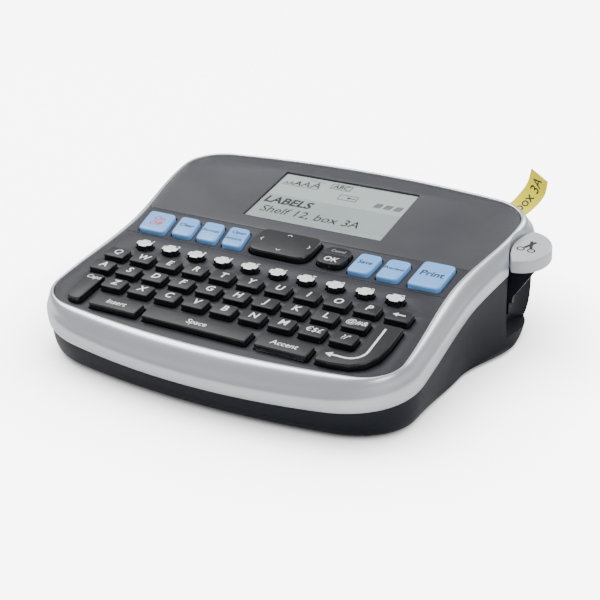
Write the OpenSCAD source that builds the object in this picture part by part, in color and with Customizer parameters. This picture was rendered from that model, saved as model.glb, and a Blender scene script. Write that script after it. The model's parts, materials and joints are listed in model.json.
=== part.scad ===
// Desktop label maker: wedge-shaped body with a sloping keyboard and screen,
// a silver rim, a press-down tape cutter and a tape cassette in the rear right.
// Units are millimetres. The origin is on the table, under the middle of the
// body. +Y runs to the back, +Z runs up. The whole top lies in one sloping
// plane, the panel plane: features on it are placed in panel coordinates
// (x across, s up the slope, n out of the plane).

/* [Panel] */
// Slope of the whole top, in degrees
panel_tilt = 10.5; // [6:0.5:14]
// Height of the panel plane above the table at the origin
panel_rise = 32; // [30:0.5:42]
// Reach of the panel to the front, along the slope
panel_front = 60; // [58:0.5:72]
// Reach of the panel to the back, along the slope
panel_back = 64; // [62:0.5:76]
// Half width of the panel at its waist
panel_waist_half = 65; // [58:0.5:80]
// How much wider the panel is at the front corners, each side
panel_front_flare = 2; // [0:0.5:4]
// How much wider the panel is at the rear corners, each side
panel_rear_flare = 6.4; // [2:0.2:8]
// Thickness of the panel plates
panel_t = 2; // [1.6:0.1:2.4]
// Gap around the panel plates
panel_gap = 0.15; // [0.1:0.05:0.3]
// Distance of the lower seam in front of the origin
seam_front = 6.2; // [5.6:0.1:7]
// Distance of the upper seam behind the origin
seam_back = 12; // [11.6:0.1:14]

/* [Rim] */
// Width of the silver rim at the front
rim_front_w = 9; // [7:0.5:11]
// Width of the silver rim at the sides
rim_side_w = 4.6; // [4:0.2:7]
// Extra width of the rim at the waist
rim_waist_extra = 1.3; // [0:0.1:2]
// Width of the silver rim at the back
rim_back_w = 5; // [4:0.5:8]
// Height of the rim's crest above the panel
rim_crest = 0.6; // [0.2:0.1:1]
// Depth of the rim below the panel plane
rim_depth = 9.6; // [8:0.2:11]
// Wall of the rim
rim_wall = 2.2; // [1.6:0.1:2.6]

/* [Base] */
// Wall of the base shell
base_wall = 2; // [1.6:0.1:2.4]
// Floor thickness of the base shell
base_floor = 2; // [1.6:0.1:2.4]
// Step from the rim in to the base shell
base_step = 0.8; // [0.4:0.1:1.2]
// Height of the rubber feet
foot_h = 1.5; // [1:0.1:2]
// Radius of the rubber feet
foot_r = 5; // [4:0.5:6]
// Front reach of the base at the floor
foot_front = 61; // [56:0.5:64]
// Rear reach of the base at the floor
foot_back = 54; // [50:0.5:58]
// How far the base flares out at the rear of the floor, past the panel's rear half width
foot_flare = 7; // [3:0.5:9]

/* [Keys] */
// Space between the outer letter keys and the panel's waist
key_margin = 3.4; // [3:0.1:5]
// Gap between two letter keys, side to side
key_gap = 2.5; // [2.2:0.1:3]
// Depth of a letter key, front to back
key_d = 6; // [5:0.1:6.4]
// Corner radius of a letter key
key_r = 1.1; // [0.6:0.1:1.6]
// Height of the black keys above the panel
key_h = 2.3; // [1.6:0.1:2.8]
// Height of the blue keys above the panel
blue_h = 1.6; // [1.2:0.1:2.4]
// Width of a small blue key
blue_w = 8.4; // [7.6:0.1:9]
// Depth of a small blue key
blue_d = 12.3; // [11:0.1:13]
// Travel of every key
key_travel = 1; // [0.6:0.1:1.2]
// Gap between a key and its hole in the panel
key_fit = 0.35; // [0.3:0.05:0.5]
// Gap between the two keys that share the oval beside the arrow pad
oval_split = 0.5; // [0.4:0.1:0.8]

/* [Display] */
// Width of the window
window_w = 57.6; // [48:0.2:64]
// Height of the window, along the slope
window_d = 35.4; // [30:0.2:38]
// Distance from the upper seam to the window
window_offset = 7.6; // [6:0.2:9]
// Thickness of the clear window
window_t = 1.2; // [1:0.1:1.6]

/* [Tape] */
// Width of the label tape
tape_w = 12; // [9:0.5:14]
// Clearance of the cassette inside its bay
cassette_fit = 0.5; // [0.3:0.1:0.8]
// Room beside the tape inside the cassette, each side
cassette_side = 3.5; // [3:0.1:4]
// Radius of the full roll of tape
roll_r = 9.5; // [8:0.5:9.5]
// Thickness of the printed label as modelled
label_t = 0.3; // [0.2:0.05:0.4]

/* [Cutter] */
// Radius of the cutter button
cutter_r = 10.7; // [9:0.1:12]
// Thickness of the cutter button
cutter_t = 5; // [4:0.2:6]
// Depth of the cutter button's top below the panel plane
cutter_drop = 2.3; // [1:0.1:3]
// Travel of the cutter button
cutter_travel = 5; // [4:0.5:5]
// Radius of the hollow that the cutter button runs in
scoop_r = 17; // [15:0.5:20]
// Gap between the cutter and the hollow's wall
cutter_fit = 0.5; // [0.4:0.1:0.8]

/* [Gears] */
// Gear module
gear_m = 0.8; // [0.7:0.1:0.8]
// Teeth of each idler gear
idler_teeth = 23; // [22:1:23]
// Teeth of the platen gear
platen_teeth = 10; // [10:1:11]
// Teeth of the motor pinion
pinion_teeth = 8; // [8:1:9]
// Teeth of the ribbon gear
ribbon_teeth = 15; // [14:1:15]
// Radius of the platen roller
platen_r = 3.2; // [2.8:0.1:3.4]
// Running clearance of a shaft in its bore
run_fit = 0.05; // [0.03:0.01:0.08]

/* [Battery] */
// Length of the battery pack
battery_w = 50; // [40:1:52]
// Depth of the battery pack
battery_d = 31; // [26:1:32]

/* [Hidden] */

tau_steps = 96;
eps = 0.02;
c_tilt = cos(panel_tilt);
s_tilt = sin(panel_tilt);

// --- outlines -------------------------------------------------------------
// An outline is [front, back, front half width, waist half width,
// rear half width, front corner, rear corner, front bow, rear bow].
panel_set = [panel_front, panel_back, panel_waist_half + panel_front_flare, panel_waist_half,
    panel_waist_half + panel_rear_flare, 12, 14, 4, 4];
rim_set = [panel_front + rim_front_w, panel_back + rim_back_w,
    panel_waist_half + panel_front_flare + rim_side_w,
    panel_waist_half + rim_side_w + rim_waist_extra,
    panel_waist_half + panel_rear_flare + rim_side_w, 24, 17, 4.5, 4.5];
foot_set = [foot_front, foot_back, panel_waist_half + panel_front_flare + 1.5,
    panel_waist_half + 5.5, panel_waist_half + panel_rear_flare + foot_flare, 20, 22, 4, 3];
waist_s = -4;

function inset(set, d) = [set[0] - d, set[1] - d, set[2] - d, set[3] - d, set[4] - d,
    set[5] - d / 2, set[6] - d / 2, set[7], set[8]];
function mix(a, b, t) = a + (b - a) * t;
function bezier(a, b, c, d, steps) = [for (i = [0 : steps - 1]) let (t = i / steps)
    pow(1 - t, 3) * a + 3 * t * pow(1 - t, 2) * b + 3 * t * t * (1 - t) * c + pow(t, 3) * d];
// One half of an outline, from the middle of the front to the middle of the back.
function half_outline(set) =
    let (front_end = [set[2] - set[5], set[7] - set[0]],
        side_start = [set[2], set[7] + set[5] - set[0]],
        waist = [set[3], waist_s],
        side_end = [set[4], set[1] - set[8] - set[6]],
        back_start = [set[4] - set[6], set[1] - set[8]],
        front_slope = 2 * set[7] / front_end.x,
        back_slope = 2 * set[8] / back_start.x,
        k = 0.55)
    concat(
        bezier([0, -set[0]], [front_end.x / 3, -set[0]],
            [front_end.x * 2 / 3, front_end.y - set[7] * 2 / 3], front_end, 5),
        bezier(front_end, front_end + k * set[5] * [1, front_slope],
            side_start - [0, k * set[5]], side_start, 5),
        bezier(side_start, mix(side_start, [set[2], waist_s], 0.35),
            mix([set[3], side_start.y], waist, 0.65), waist, 3),
        bezier(waist, mix(waist, [set[3], side_end.y], 0.35),
            mix([set[4], waist_s], side_end, 0.65), side_end, 6),
        bezier(side_end, side_end + [0, k * set[6]],
            back_start + k * set[6] * [1, -back_slope], back_start, 6),
        bezier(back_start, [back_start.x * 2 / 3, back_start.y + set[8] * 2 / 3],
            [back_start.x / 3, set[1]], [0, set[1]], 5),
        [[0, set[1]]]);
function outline(set) = let (half = half_outline(set), last = len(half) - 1)
    concat(half, [for (i = [last - 1 : -1 : 1]) [-half[i].x, half[i].y]]);
// A point of the panel plane, raised by n, in the part's frame.
function on_plane(p, n) = [p.x, p.y * c_tilt - n * s_tilt,
    panel_rise + p.y * s_tilt + n * c_tilt];
function plane_z(y, n) = panel_rise + y * s_tilt / c_tilt + n / c_tilt;

// --- shared modules -------------------------------------------------------
// A solid through rings of equal length; a loop joins the last ring to the first.
module loft(rings, loop = false) {
    m = len(rings[0]);
    k = len(rings);
    sides = [for (j = [0 : loop ? k - 1 : k - 2], i = [0 : m - 1])
        let (u = (j + 1) % k, v = (i + 1) % m)
        each [[j * m + i, u * m + i, u * m + v], [j * m + i, u * m + v, j * m + v]]];
    caps = loop ? [] : [[for (i = [0 : m - 1]) i], [for (i = [m - 1 : -1 : 0]) (k - 1) * m + i]];
    polyhedron(points = [for (ring = rings) each ring], faces = concat(sides, caps), convexity = 10);
}
module on_panel(n = 0) {
    translate([0, 0, panel_rise]) rotate([panel_tilt, 0, 0]) translate([0, 0, n]) children();
}
// Corners rounded by a curve from side to side; each corner has its own radius.
function unit(v) = v / norm(v);
function rounded(pts, radii) = [for (i = [0 : len(pts) - 1])
    let (p = pts[i], a = pts[(i + len(pts) - 1) % len(pts)], b = pts[(i + 1) % len(pts)],
        start = p + unit(a - p) * radii[i], end = p + unit(b - p) * radii[i])
    for (t = [0 : 0.25 : 1]) pow(1 - t, 2) * start + 2 * t * (1 - t) * p + t * t * end];
// Corners of a key, grown by g; lean moves its back edge sideways.
function key_corners(x, s, w, d, lean, g) = [
    [x - w / 2 - g + lean / 2, s - d / 2 - g], [x + w / 2 + g + lean / 2, s - d / 2 - g],
    [x + w / 2 + g - lean / 2, s + d / 2 + g], [x - w / 2 - g - lean / 2, s + d / 2 + g]];
// A key: its cap through the panel, and a flange under it that keeps it in.
flange_out = 0.6;
flange_t = 0.6;
flange_n = -panel_t - 0.3;
module key_solid(cap, flange, h) {
    on_panel(flange_n - flange_t) linear_extrude(flange_t) polygon(flange);
    on_panel(flange_n) linear_extrude(h - flange_n) polygon(cap);
}
module key_hole(pts) {
    translate([0, 0, -panel_t - 1]) linear_extrude(panel_t + 2) polygon(pts);
}

// --- key layout -----------------------------------------------------------
key_pitch = 2 * (panel_waist_half - key_margin) / 11;
key_w = key_pitch - key_gap;
bottom_s = 8.5 - panel_front;
number_s = -seam_front - 8.3;
row_pitch = (number_s - bottom_s) / 4;
// Where the lower, home and top letter rows lie, in row pitches from the bottom row
lower_s = bottom_s + 1.11 * row_pitch;
home_s = bottom_s + 2.04 * row_pitch;
top_s = bottom_s + 3 * row_pitch;
blue_s = (seam_back - seam_front) / 2 - 1.1;
left_lean = 2.4;
right_lean = -0.5;

function letter_shape(x, s, g) = rounded(key_corners(x, s, key_w, key_d, 0, g),
    [key_r + g, key_r + g, key_r + g, key_r + g]);
function row_x(count, i) = (i - (count - 1) / 2) * key_pitch;
function bar_shape(x, w, g) = rounded(key_corners(x, bottom_s, w, key_d + 0.4, 0, g),
    [key_r, key_r, key_r, key_r]);
function blue_shape(x, s, w, d, lean, g) = rounded(key_corners(x, s, w, d, lean, g), [2, 2, 2, 2]);

caps_x = -5 * key_pitch + 1.5;
function caps_shape(g) = rounded([[caps_x - 2.8 - g, bottom_s - key_d / 2 + 0.6 - g],
    [caps_x + 3.7 + g, bottom_s - key_d / 2 + 0.6 - g],
    [caps_x + 3.7 + g, lower_s + key_d / 2 + g], [caps_x - 2.8 - g, lower_s + key_d / 2 + g]],
    [4 + g, 2, key_r, key_r]);
return_right = 5 * key_pitch + key_w / 2;
return_left = 3.65 * key_pitch;
function return_shape(g) = rounded([[return_left - g, bottom_s - key_d / 2 - g],
    [return_right + g, bottom_s - key_d / 2 - g], [return_right + g, home_s + key_d / 2 + g],
    [return_right - key_w - g, home_s + key_d / 2 + g],
    [return_right - key_w - g, bottom_s + key_d / 2 + g],
    [return_left - g, bottom_s + key_d / 2 + g]],
    [key_r, 14 + g, key_r, key_r, max(4 - g, 1), key_r]);
insert_x = -3.28 * key_pitch;
insert_w = 1.74 * key_pitch;
space_x = -0.38 * key_pitch;
space_w = 3.62 * key_pitch;
accent_x = 2.56 * key_pitch;
accent_w = 1.72 * key_pitch;

on_off_x = -4.95 * key_pitch;
clear_x = -3.83 * key_pitch;
format_x = -2.86 * key_pitch;
settings_x = -1.88 * key_pitch;
save_x = 2.79 * key_pitch;
preview_x = 3.77 * key_pitch;
print_x = 4.98 * key_pitch;
function on_off_shape(g) = blue_shape(on_off_x, blue_s - 0.5, 11.6, blue_d + 0.7, left_lean, g);
function clear_shape(g) = blue_shape(clear_x, blue_s, blue_w, blue_d, left_lean, g);
function format_shape(g) = blue_shape(format_x, blue_s, blue_w, blue_d, left_lean, g);
function settings_shape(g) = blue_shape(settings_x, blue_s, blue_w, blue_d, left_lean, g);
function save_shape(g) = blue_shape(save_x, blue_s, blue_w, blue_d, right_lean, g);
function preview_shape(g) = blue_shape(preview_x, blue_s, blue_w, blue_d, right_lean, g);
function print_shape(g) = blue_shape(print_x, blue_s + 1.4, 11.8, blue_d + 3.2, right_lean, g);

nav_x = -0.1 * key_pitch;
nav_w = 2.2 * key_pitch;
nav_s = blue_s + 0.9;
nav_d = 14.6;
nav_h = 2.4;
nav_fit = 0.6;
function nav_shape(g) = rounded(key_corners(nav_x, nav_s, nav_w, nav_d, 0, g),
    [5 + g, 5 + g, 3 + g, 3 + g]);
oval_x = 1.73 * key_pitch;
oval_w = 0.95 * key_pitch;
oval_s = blue_s + 0.1;
oval_d = 11.6;
function half_oval(low, high, front_r, back_r, g) = rounded(
    [[oval_x - oval_w / 2 - g, low - g], [oval_x + oval_w / 2 + g, low - g],
        [oval_x + oval_w / 2 + g, high + g], [oval_x - oval_w / 2 - g, high + g]],
    [front_r, front_r, back_r, back_r]);
split_s = oval_s + 0.6;
function ok_shape(g) = half_oval(oval_s - oval_d / 2, split_s - oval_split / 2, 4, 0.4, g);
function cancel_shape(g) = half_oval(split_s + oval_split / 2, oval_s + oval_d / 2, 0.4, 4, g);
function oval_hole() = half_oval(oval_s - oval_d / 2, oval_s + oval_d / 2, 4, 4, key_fit);
// Flanges keep clear of each other along the split between the two keys.
function ok_flange() = half_oval(oval_s - oval_d / 2 - flange_out, split_s - oval_split / 2, 4, 0.4, 0);
function cancel_flange() = half_oval(split_s + oval_split / 2, oval_s + oval_d / 2 + flange_out, 0.4, 4, 0);

module number_outline(x, g) {
    polygon(rounded(key_corners(x, number_s, 6.6, 2.7, 0, g), [1.1, 1.1, 1.1, 1.1]));
    polygon(rounded(key_corners(x, number_s, 3.8, 4.6, 0, g), [1.1, 1.1, 1.1, 1.1]));
}

// --- layout of the inside -------------------------------------------------
// Base, tape drive and cassette: lengths along Y and Z follow the platen and the panel.
base_z = foot_h;
side_x = panel_waist_half + panel_rear_flare;
mech_shift = side_x - 71.4;
mech_x = 55 + mech_shift;
platen_y = 52;
platen_z = plane_z(platen_y, 0) - 9.85;
tape_z = platen_z + platen_r + 0.2;
cassette_w = tape_w + 2 * cassette_side;
cassette_x0 = mech_x - cassette_w / 2;
cassette_x1 = mech_x + cassette_w / 2;
cassette_y0 = seam_back - 3.5;
cassette_y1 = platen_y - platen_r - 0.6;
cassette_z0 = base_z + 5;
cassette_z1 = platen_z + 0.8;
plate_t = 1.4;
plate_x = cassette_x0 - cassette_fit - plate_t;
right_plate_x = cassette_x1 + cassette_fit;
door_x0 = cassette_x0 - 0.5;
door_x1 = cassette_x1 + 0.5;
gear_t = 2.4;
gear_x = plate_x - 0.3 - gear_t;
train_angle = 20.5;
idler_r = gear_m * idler_teeth / 2;
function down_train(d) = [platen_y - d * cos(train_angle), platen_z - d * sin(train_angle)];
rear_d = gear_m * (platen_teeth + idler_teeth) / 2;
middle_d = rear_d + 2 * idler_r;
front_d = middle_d + 2 * idler_r;
pinion_d = front_d + gear_m * (idler_teeth + pinion_teeth) / 2;
rear_at = down_train(rear_d);
middle_at = down_train(middle_d);
front_at = down_train(front_d);
pinion_at = down_train(pinion_d);
ribbon_angle = -40;
ribbon_at = middle_at + gear_m * (idler_teeth + ribbon_teeth) / 2 * [cos(ribbon_angle), sin(ribbon_angle)];
axle_r = 1.5;

// Cutter: its hollow in the right side, its stem through the wall, its arm and blade
cutter_x = side_x + 4.1;
cutter_y = 37;
cutter_s = (cutter_y - cutter_drop * s_tilt) / c_tilt;
scoop_x = side_x + 17.6;
scoop_floor = base_z + 3.5;
wall_x = scoop_x - scoop_r;
disc_z = plane_z(cutter_y, -cutter_drop - cutter_t);
stem_low = disc_z - 17.5;
stem_high = disc_z - 4.5;
slot_low = stem_low - cutter_travel - 0.5;
slot_high = stem_high + 0.8;
arm_x = wall_x - base_wall - 2;
arm_low = tape_z - 10.8;
arm_high = arm_low + 6;
spring_x = wall_x - 2.4;
spring_y = cutter_y + 9;
spring_low = arm_low - 12;
blade_t = 0.8;
blade_y = platen_y + 4;
blade_x0 = mech_x - tape_w / 2 - 0.8;
blade_x1 = arm_x - 1.2;
blade_rest = 0.45;

// Doors in the floor, the pins they hang on, the battery and the power socket
battery_x0 = -49;
battery_x1 = battery_x0 + battery_w + 2;
battery_y0 = -46;
door_gap = 0.4;
hinge_room = 3.2;
door_t = 1.8;
door_edge = [cassette_y0 - 3.5, cassette_y1 + 2];
battery_door_edge = [battery_y0 - 2.5, battery_y0 + battery_d + 3];
pin_r = 1;
pin_z = base_z + 2.7;
boss_r = 2.2;
boss_w = 5;
jack_x = -46;
jack_z = 13;
jack_w = 10;
jack_h = 10;
slot_half = 1.5;
jack_y = foot_back + 7.5;

// Rubber mat under the keys, and the arrow pad's pivot on it
mat_n = flange_n - flange_t - key_travel - 1.3;
pivot_n = mat_n + 1.4;

// --- top casing -----------------------------------------------------------
module plate_outline() {
    polygon(outline(inset(panel_set, panel_gap)));
}
module panel_plate(low, high) {
    translate([0, 0, -panel_t]) linear_extrude(panel_t) intersection() {
        plate_outline();
        translate([-150, low]) square([300, high - low]);
    }
}
module key_panel() {
    color("#3b3d43") on_panel() difference() {
        panel_plate(-150, -seam_front - panel_gap / 2);
        for (i = [0 : 9]) translate([0, 0, -panel_t - 1]) linear_extrude(panel_t + 2)
            number_outline(row_x(10, i), key_fit);
        for (i = [0 : 10]) key_hole(letter_shape(row_x(11, i), top_s, key_fit));
        for (i = [0 : 9]) key_hole(letter_shape(row_x(11, i), home_s, key_fit));
        for (i = [1 : 9]) key_hole(letter_shape(row_x(11, i), lower_s, key_fit));
        key_hole(caps_shape(key_fit));
        key_hole(bar_shape(insert_x, insert_w, key_fit));
        key_hole(bar_shape(space_x, space_w, key_fit));
        key_hole(bar_shape(accent_x, accent_w, key_fit));
        key_hole(return_shape(key_fit));
    }
}
module function_panel() {
    color("#44464d") on_panel() difference() {
        panel_plate(-seam_front + panel_gap / 2, seam_back - panel_gap / 2);
        for (pts = [on_off_shape(key_fit), clear_shape(key_fit), format_shape(key_fit),
            settings_shape(key_fit), save_shape(key_fit), preview_shape(key_fit),
            print_shape(key_fit), nav_shape(nav_fit), oval_hole()]) key_hole(pts);
    }
}
window_low = seam_back + window_offset;
window_mid = window_low + window_d / 2;
window_fit = 0.2;
module screen_panel() {
    color("#6a6c74") on_panel() difference() {
        panel_plate(seam_back + panel_gap / 2, 150);
        translate([-window_w / 2, window_low, -panel_t - 1]) cube([window_w, window_d, panel_t + 2]);
    }
}
module display_window() {
    color("#c9d6d0", 0.4) on_panel(-window_t - 0.2) linear_extrude(window_t)
        polygon(rounded(key_corners(0, window_mid, window_w - 2 * window_fit,
            window_d - 2 * window_fit, 0, 0), [0.6, 0.6, 0.6, 0.6]));
}
lcd_margin = 1.6;
lcd_t = 1.5;
module lcd_panel() {
    color("#aeb8ae") on_panel(-panel_t - 0.1 - lcd_t)
        translate([-window_w / 2 - lcd_margin, window_low - lcd_margin, 0])
            cube([window_w + 2 * lcd_margin, window_d + 2 * lcd_margin, lcd_t]);
}
board_t = 1.6;
module display_board() {
    color("#1f6b45") on_panel(-panel_t - 0.2 - lcd_t - board_t)
        translate([-window_w / 2 - 2 * lcd_margin, window_low - 2 * lcd_margin, 0])
            cube([window_w + 4 * lcd_margin, window_d + 4 * lcd_margin, board_t]);
}
// The rim's cross-section as [share of the way from panel edge to rim edge, n]
rim_curve = [for (a = [0 : 15 : 90]) [sin(a), rim_crest - (1 - cos(a)) * 0.62 * rim_depth]];
rim_inside = 1 - rim_wall / rim_side_w;
rim_profile = concat([[-0.15, -panel_t - 1.4], [-0.15, -panel_t], [0, -panel_t]], rim_curve,
    [[1, -rim_depth], [rim_inside, -rim_depth], [rim_inside, -0.5 * rim_depth],
        [rim_inside * 0.7, -panel_t - 1.4]]);
module scoop(grow, low, high) {
    translate([scoop_x, cutter_y, low]) cylinder(r = scoop_r + grow, h = high - low, $fn = tau_steps);
}
module rim_frame() {
    inner = outline(panel_set);
    outer = outline(rim_set);
    color("#b4b8bd") difference() {
        loft([for (p = rim_profile) [for (i = [0 : len(inner) - 1])
            on_plane(mix(inner[i], outer[i], p[0]), p[1])]], loop = true);
        scoop(0, 0, 80);
        translate([61.5 + mech_shift, 65, tape_z + 1.5]) rotate([0, 0, -25])
            cube([tape_w + 4.5, 12, 3.4], center = true);
    }
}

// --- base shell -----------------------------------------------------------
// Walls that flare out run straight down; the others curve under towards the floor.
base_levels = [1, 0.92, 0.78, 0.55, 0.3, 0];
function base_rings(d, low, top_n) =
    let (top = [for (p = outline(inset(rim_set, base_step + d))) on_plane(p, top_n)],
        foot = outline(inset(foot_set, d)))
    [for (level = base_levels) [for (i = [0 : len(top) - 1])
        let (down = level * (top[i].z - low) / (top[i].z - base_z),
            curve = 1 - sqrt(1 - down * down),
            sideways = abs(foot[i].x) > abs(top[i].x) ? down : curve)
        [mix(top[i].x, foot[i].x, sideways), mix(top[i].y, foot[i].y, curve),
            mix(top[i].z, low, level)]]];
module base_cavity() {
    difference() {
        loft(base_rings(base_wall, base_z + base_floor, 1 - rim_depth));
        scoop(base_wall, 0, 80);
    }
}
screw_spots = [[3 - panel_waist_half, 25 - foot_front], [panel_waist_half - 3, 25 - foot_front],
    [-panel_waist_half - 1, foot_back - 24], [28 + mech_shift, 17 - foot_front],
    [14 + mech_shift, foot_back - 10], [-30, foot_back - 10]];
foot_spots = [[9 - panel_waist_half, 14 - foot_front], [panel_waist_half - 9, 14 - foot_front],
    [3 - panel_waist_half, foot_back - 12], [34 + mech_shift, foot_back - 8]];
screw_r = 1.4;
head_r = 2.6;
boss_h = 11;
module door_opening(x0, x1, edge) {
    translate([x0 - door_gap, edge[0] - hinge_room, 0])
        cube([x1 - x0 + 2 * door_gap, edge[1] - edge[0] + hinge_room + door_gap, base_z + base_floor + 1]);
}
module hinge_boss(x, edge) {
    translate([x - boss_w / 2, edge[0], pin_z]) rotate([0, 90, 0]) cylinder(r = boss_r, h = boss_w, $fn = 32);
    translate([x - boss_w / 2, edge[0] - hinge_room - 0.6, base_z + 0.5])
        cube([boss_w, hinge_room + 0.6, pin_z - base_z - 0.7]);
}
module bottom_shell() {
    color("#1b1d26") difference() {
        union() {
            difference() {
                loft(base_rings(0, base_z, -rim_depth));
                scoop(0, scoop_floor, 80);
                base_cavity();
                door_opening(door_x0, door_x1, door_edge);
                door_opening(battery_x0, battery_x1, battery_door_edge);
                translate([jack_x - jack_w / 2 - 0.2, 30, jack_z - jack_h / 2 - 0.2])
                    cube([jack_w + 0.4, 60, jack_h + 0.4]);
                for (p = foot_spots) translate([p.x, p.y, 0])
                    cylinder(r = foot_r + 0.2, h = base_z + 0.6, $fn = 48);
            }
            hinge_boss((door_x0 + door_x1) / 2, door_edge);
            hinge_boss((battery_x0 + battery_x1) / 2, battery_door_edge);
            for (p = screw_spots) translate([p.x, p.y, base_z + 0.4]) cylinder(r = 4, h = boss_h, $fn = 32);
            translate([spring_x, spring_y, base_z + 1]) cylinder(r = 2.4, h = spring_low - base_z - 1, $fn = 32);
            translate([spring_x, spring_y, base_z + 1]) cylinder(r = 0.8, h = spring_low - base_z + 2, $fn = 24);
        }
        for (hinge = [[(door_x0 + door_x1) / 2, door_edge[0]],
            [(battery_x0 + battery_x1) / 2, battery_door_edge[0]]])
            translate([hinge.x - boss_w, hinge.y, pin_z])
                rotate([0, 90, 0]) cylinder(r = pin_r, h = 2 * boss_w, $fn = 32);
        translate([scoop_x - scoop_r - base_wall - 3, cutter_y - slot_half, slot_low])
            cube([base_wall + 6, 2 * slot_half, slot_high - slot_low]);
        for (p = screw_spots) {
            translate([p.x, p.y, 0]) cylinder(r = screw_r + 0.1, h = 20, $fn = 32);
            translate([p.x, p.y, 0]) cylinder(r = head_r + 0.3, h = base_z + 3, $fn = 32);
        }
    }
}
module rubber_feet() {
    color("#141416") for (p = foot_spots) translate([p.x, p.y, 0]) {
        cylinder(r = foot_r, h = base_z + 0.6, $fn = 48);
    }
}
module case_screws() {
    color("#8d9196") for (p = screw_spots) {
        translate([p.x, p.y, base_z + 1]) cylinder(r = head_r, h = 2, $fn = 32);
        translate([p.x, p.y, base_z + 3]) cylinder(r = screw_r, h = 7, $fn = 32);
    }
}
module dc_jack() {
    color("#0f0f10") difference() {
        translate([jack_x - jack_w / 2, jack_y - 12, jack_z - jack_h / 2]) cube([jack_w, 12, jack_h]);
        translate([jack_x, jack_y - 9, jack_z]) rotate([-90, 0, 0]) cylinder(r = 2.8, h = 10, $fn = 32);
    }
    color("#c8b25a") translate([jack_x, jack_y - 9, jack_z]) rotate([-90, 0, 0])
        cylinder(r = 1, h = 8, $fn = 24);
}

// --- electronics under the keys -------------------------------------------
module keypad_mat() {
    color("#4a4c50") on_panel(mat_n) linear_extrude(0.8)
        polygon(rounded([[-panel_waist_half + 5, 4 - panel_front], [panel_waist_half - 5, 4 - panel_front],
            [panel_waist_half - 5, seam_back - 0.5], [-panel_waist_half + 5, seam_back - 0.5]], [9, 9, 2, 2]));
}
module main_board() {
    color("#1f6b45") on_panel(mat_n - board_t - 0.2) linear_extrude(board_t)
        polygon(rounded([[-panel_waist_half + 6, 5 - panel_front], [panel_waist_half - 6, 5 - panel_front],
            [panel_waist_half - 6, seam_back - 1], [-panel_waist_half + 6, seam_back - 1]], [9, 9, 2, 2]));
}

// --- keys -----------------------------------------------------------------
module number_keys() {
    color("#e9eaec") for (i = [0 : 9]) {
        on_panel(flange_n - flange_t) linear_extrude(flange_t) number_outline(row_x(10, i), flange_out);
        on_panel(flange_n) linear_extrude(key_h - 0.3 - flange_n) number_outline(row_x(10, i), 0);
    }
}
module letter_row(first, last, s) {
    color("#2c2e33") for (i = [first : last])
        key_solid(letter_shape(row_x(11, i), s, 0), letter_shape(row_x(11, i), s, flange_out), key_h);
}
module top_letter_keys() {
    letter_row(0, 10, top_s);
}
module home_letter_keys() {
    letter_row(0, 9, home_s);
}
module lower_letter_keys() {
    letter_row(1, 9, lower_s);
}
module caps_key() {
    color("#2c2e33") key_solid(caps_shape(0), caps_shape(flange_out), key_h);
}
module insert_key() {
    color("#2c2e33") key_solid(bar_shape(insert_x, insert_w, 0), bar_shape(insert_x, insert_w, flange_out), key_h);
}
module space_key() {
    color("#2c2e33") key_solid(bar_shape(space_x, space_w, 0), bar_shape(space_x, space_w, flange_out), key_h);
}
module accent_key() {
    color("#2c2e33") key_solid(bar_shape(accent_x, accent_w, 0), bar_shape(accent_x, accent_w, flange_out), key_h);
}
module return_key() {
    color("#2c2e33") key_solid(return_shape(0), return_shape(flange_out), key_h);
}
module blue_key(cap, flange) {
    color("#8fb6e6") key_solid(cap, flange, blue_h);
}
module on_off_key() {
    blue_key(on_off_shape(0), on_off_shape(flange_out));
}
module clear_key() {
    blue_key(clear_shape(0), clear_shape(flange_out));
}
module format_key() {
    blue_key(format_shape(0), format_shape(flange_out));
}
module settings_key() {
    blue_key(settings_shape(0), settings_shape(flange_out));
}
module save_key() {
    blue_key(save_shape(0), save_shape(flange_out));
}
module preview_key() {
    blue_key(preview_shape(0), preview_shape(flange_out));
}
module print_key() {
    blue_key(print_shape(0), print_shape(flange_out));
}
module nav_pad() {
    color("#2c2e33") on_panel(-panel_t + 0.4) linear_extrude(panel_t - 0.4 + nav_h) polygon(nav_shape(0));
    color("#2c2e33") on_panel(pivot_n + 0.6) translate([nav_x, nav_s, 0])
        cylinder(r = 2.2, h = -panel_t + 0.4 - pivot_n - 0.6 + eps, $fn = 32);
}
module nav_pivot() {
    color("#777a80") on_panel(pivot_n) translate([nav_x, nav_s, 0]) for (turn = [[0, 90, 0], [90, 0, 0]])
        rotate(turn) cylinder(r = 0.45, h = 3, center = true, $fn = 32);
}
module cancel_key() {
    color("#2c2e33") key_solid(cancel_shape(0), cancel_flange(), key_h - 0.5);
}
module ok_key() {
    color("#2c2e33") key_solid(ok_shape(0), ok_flange(), key_h - 0.1);
}

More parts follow.
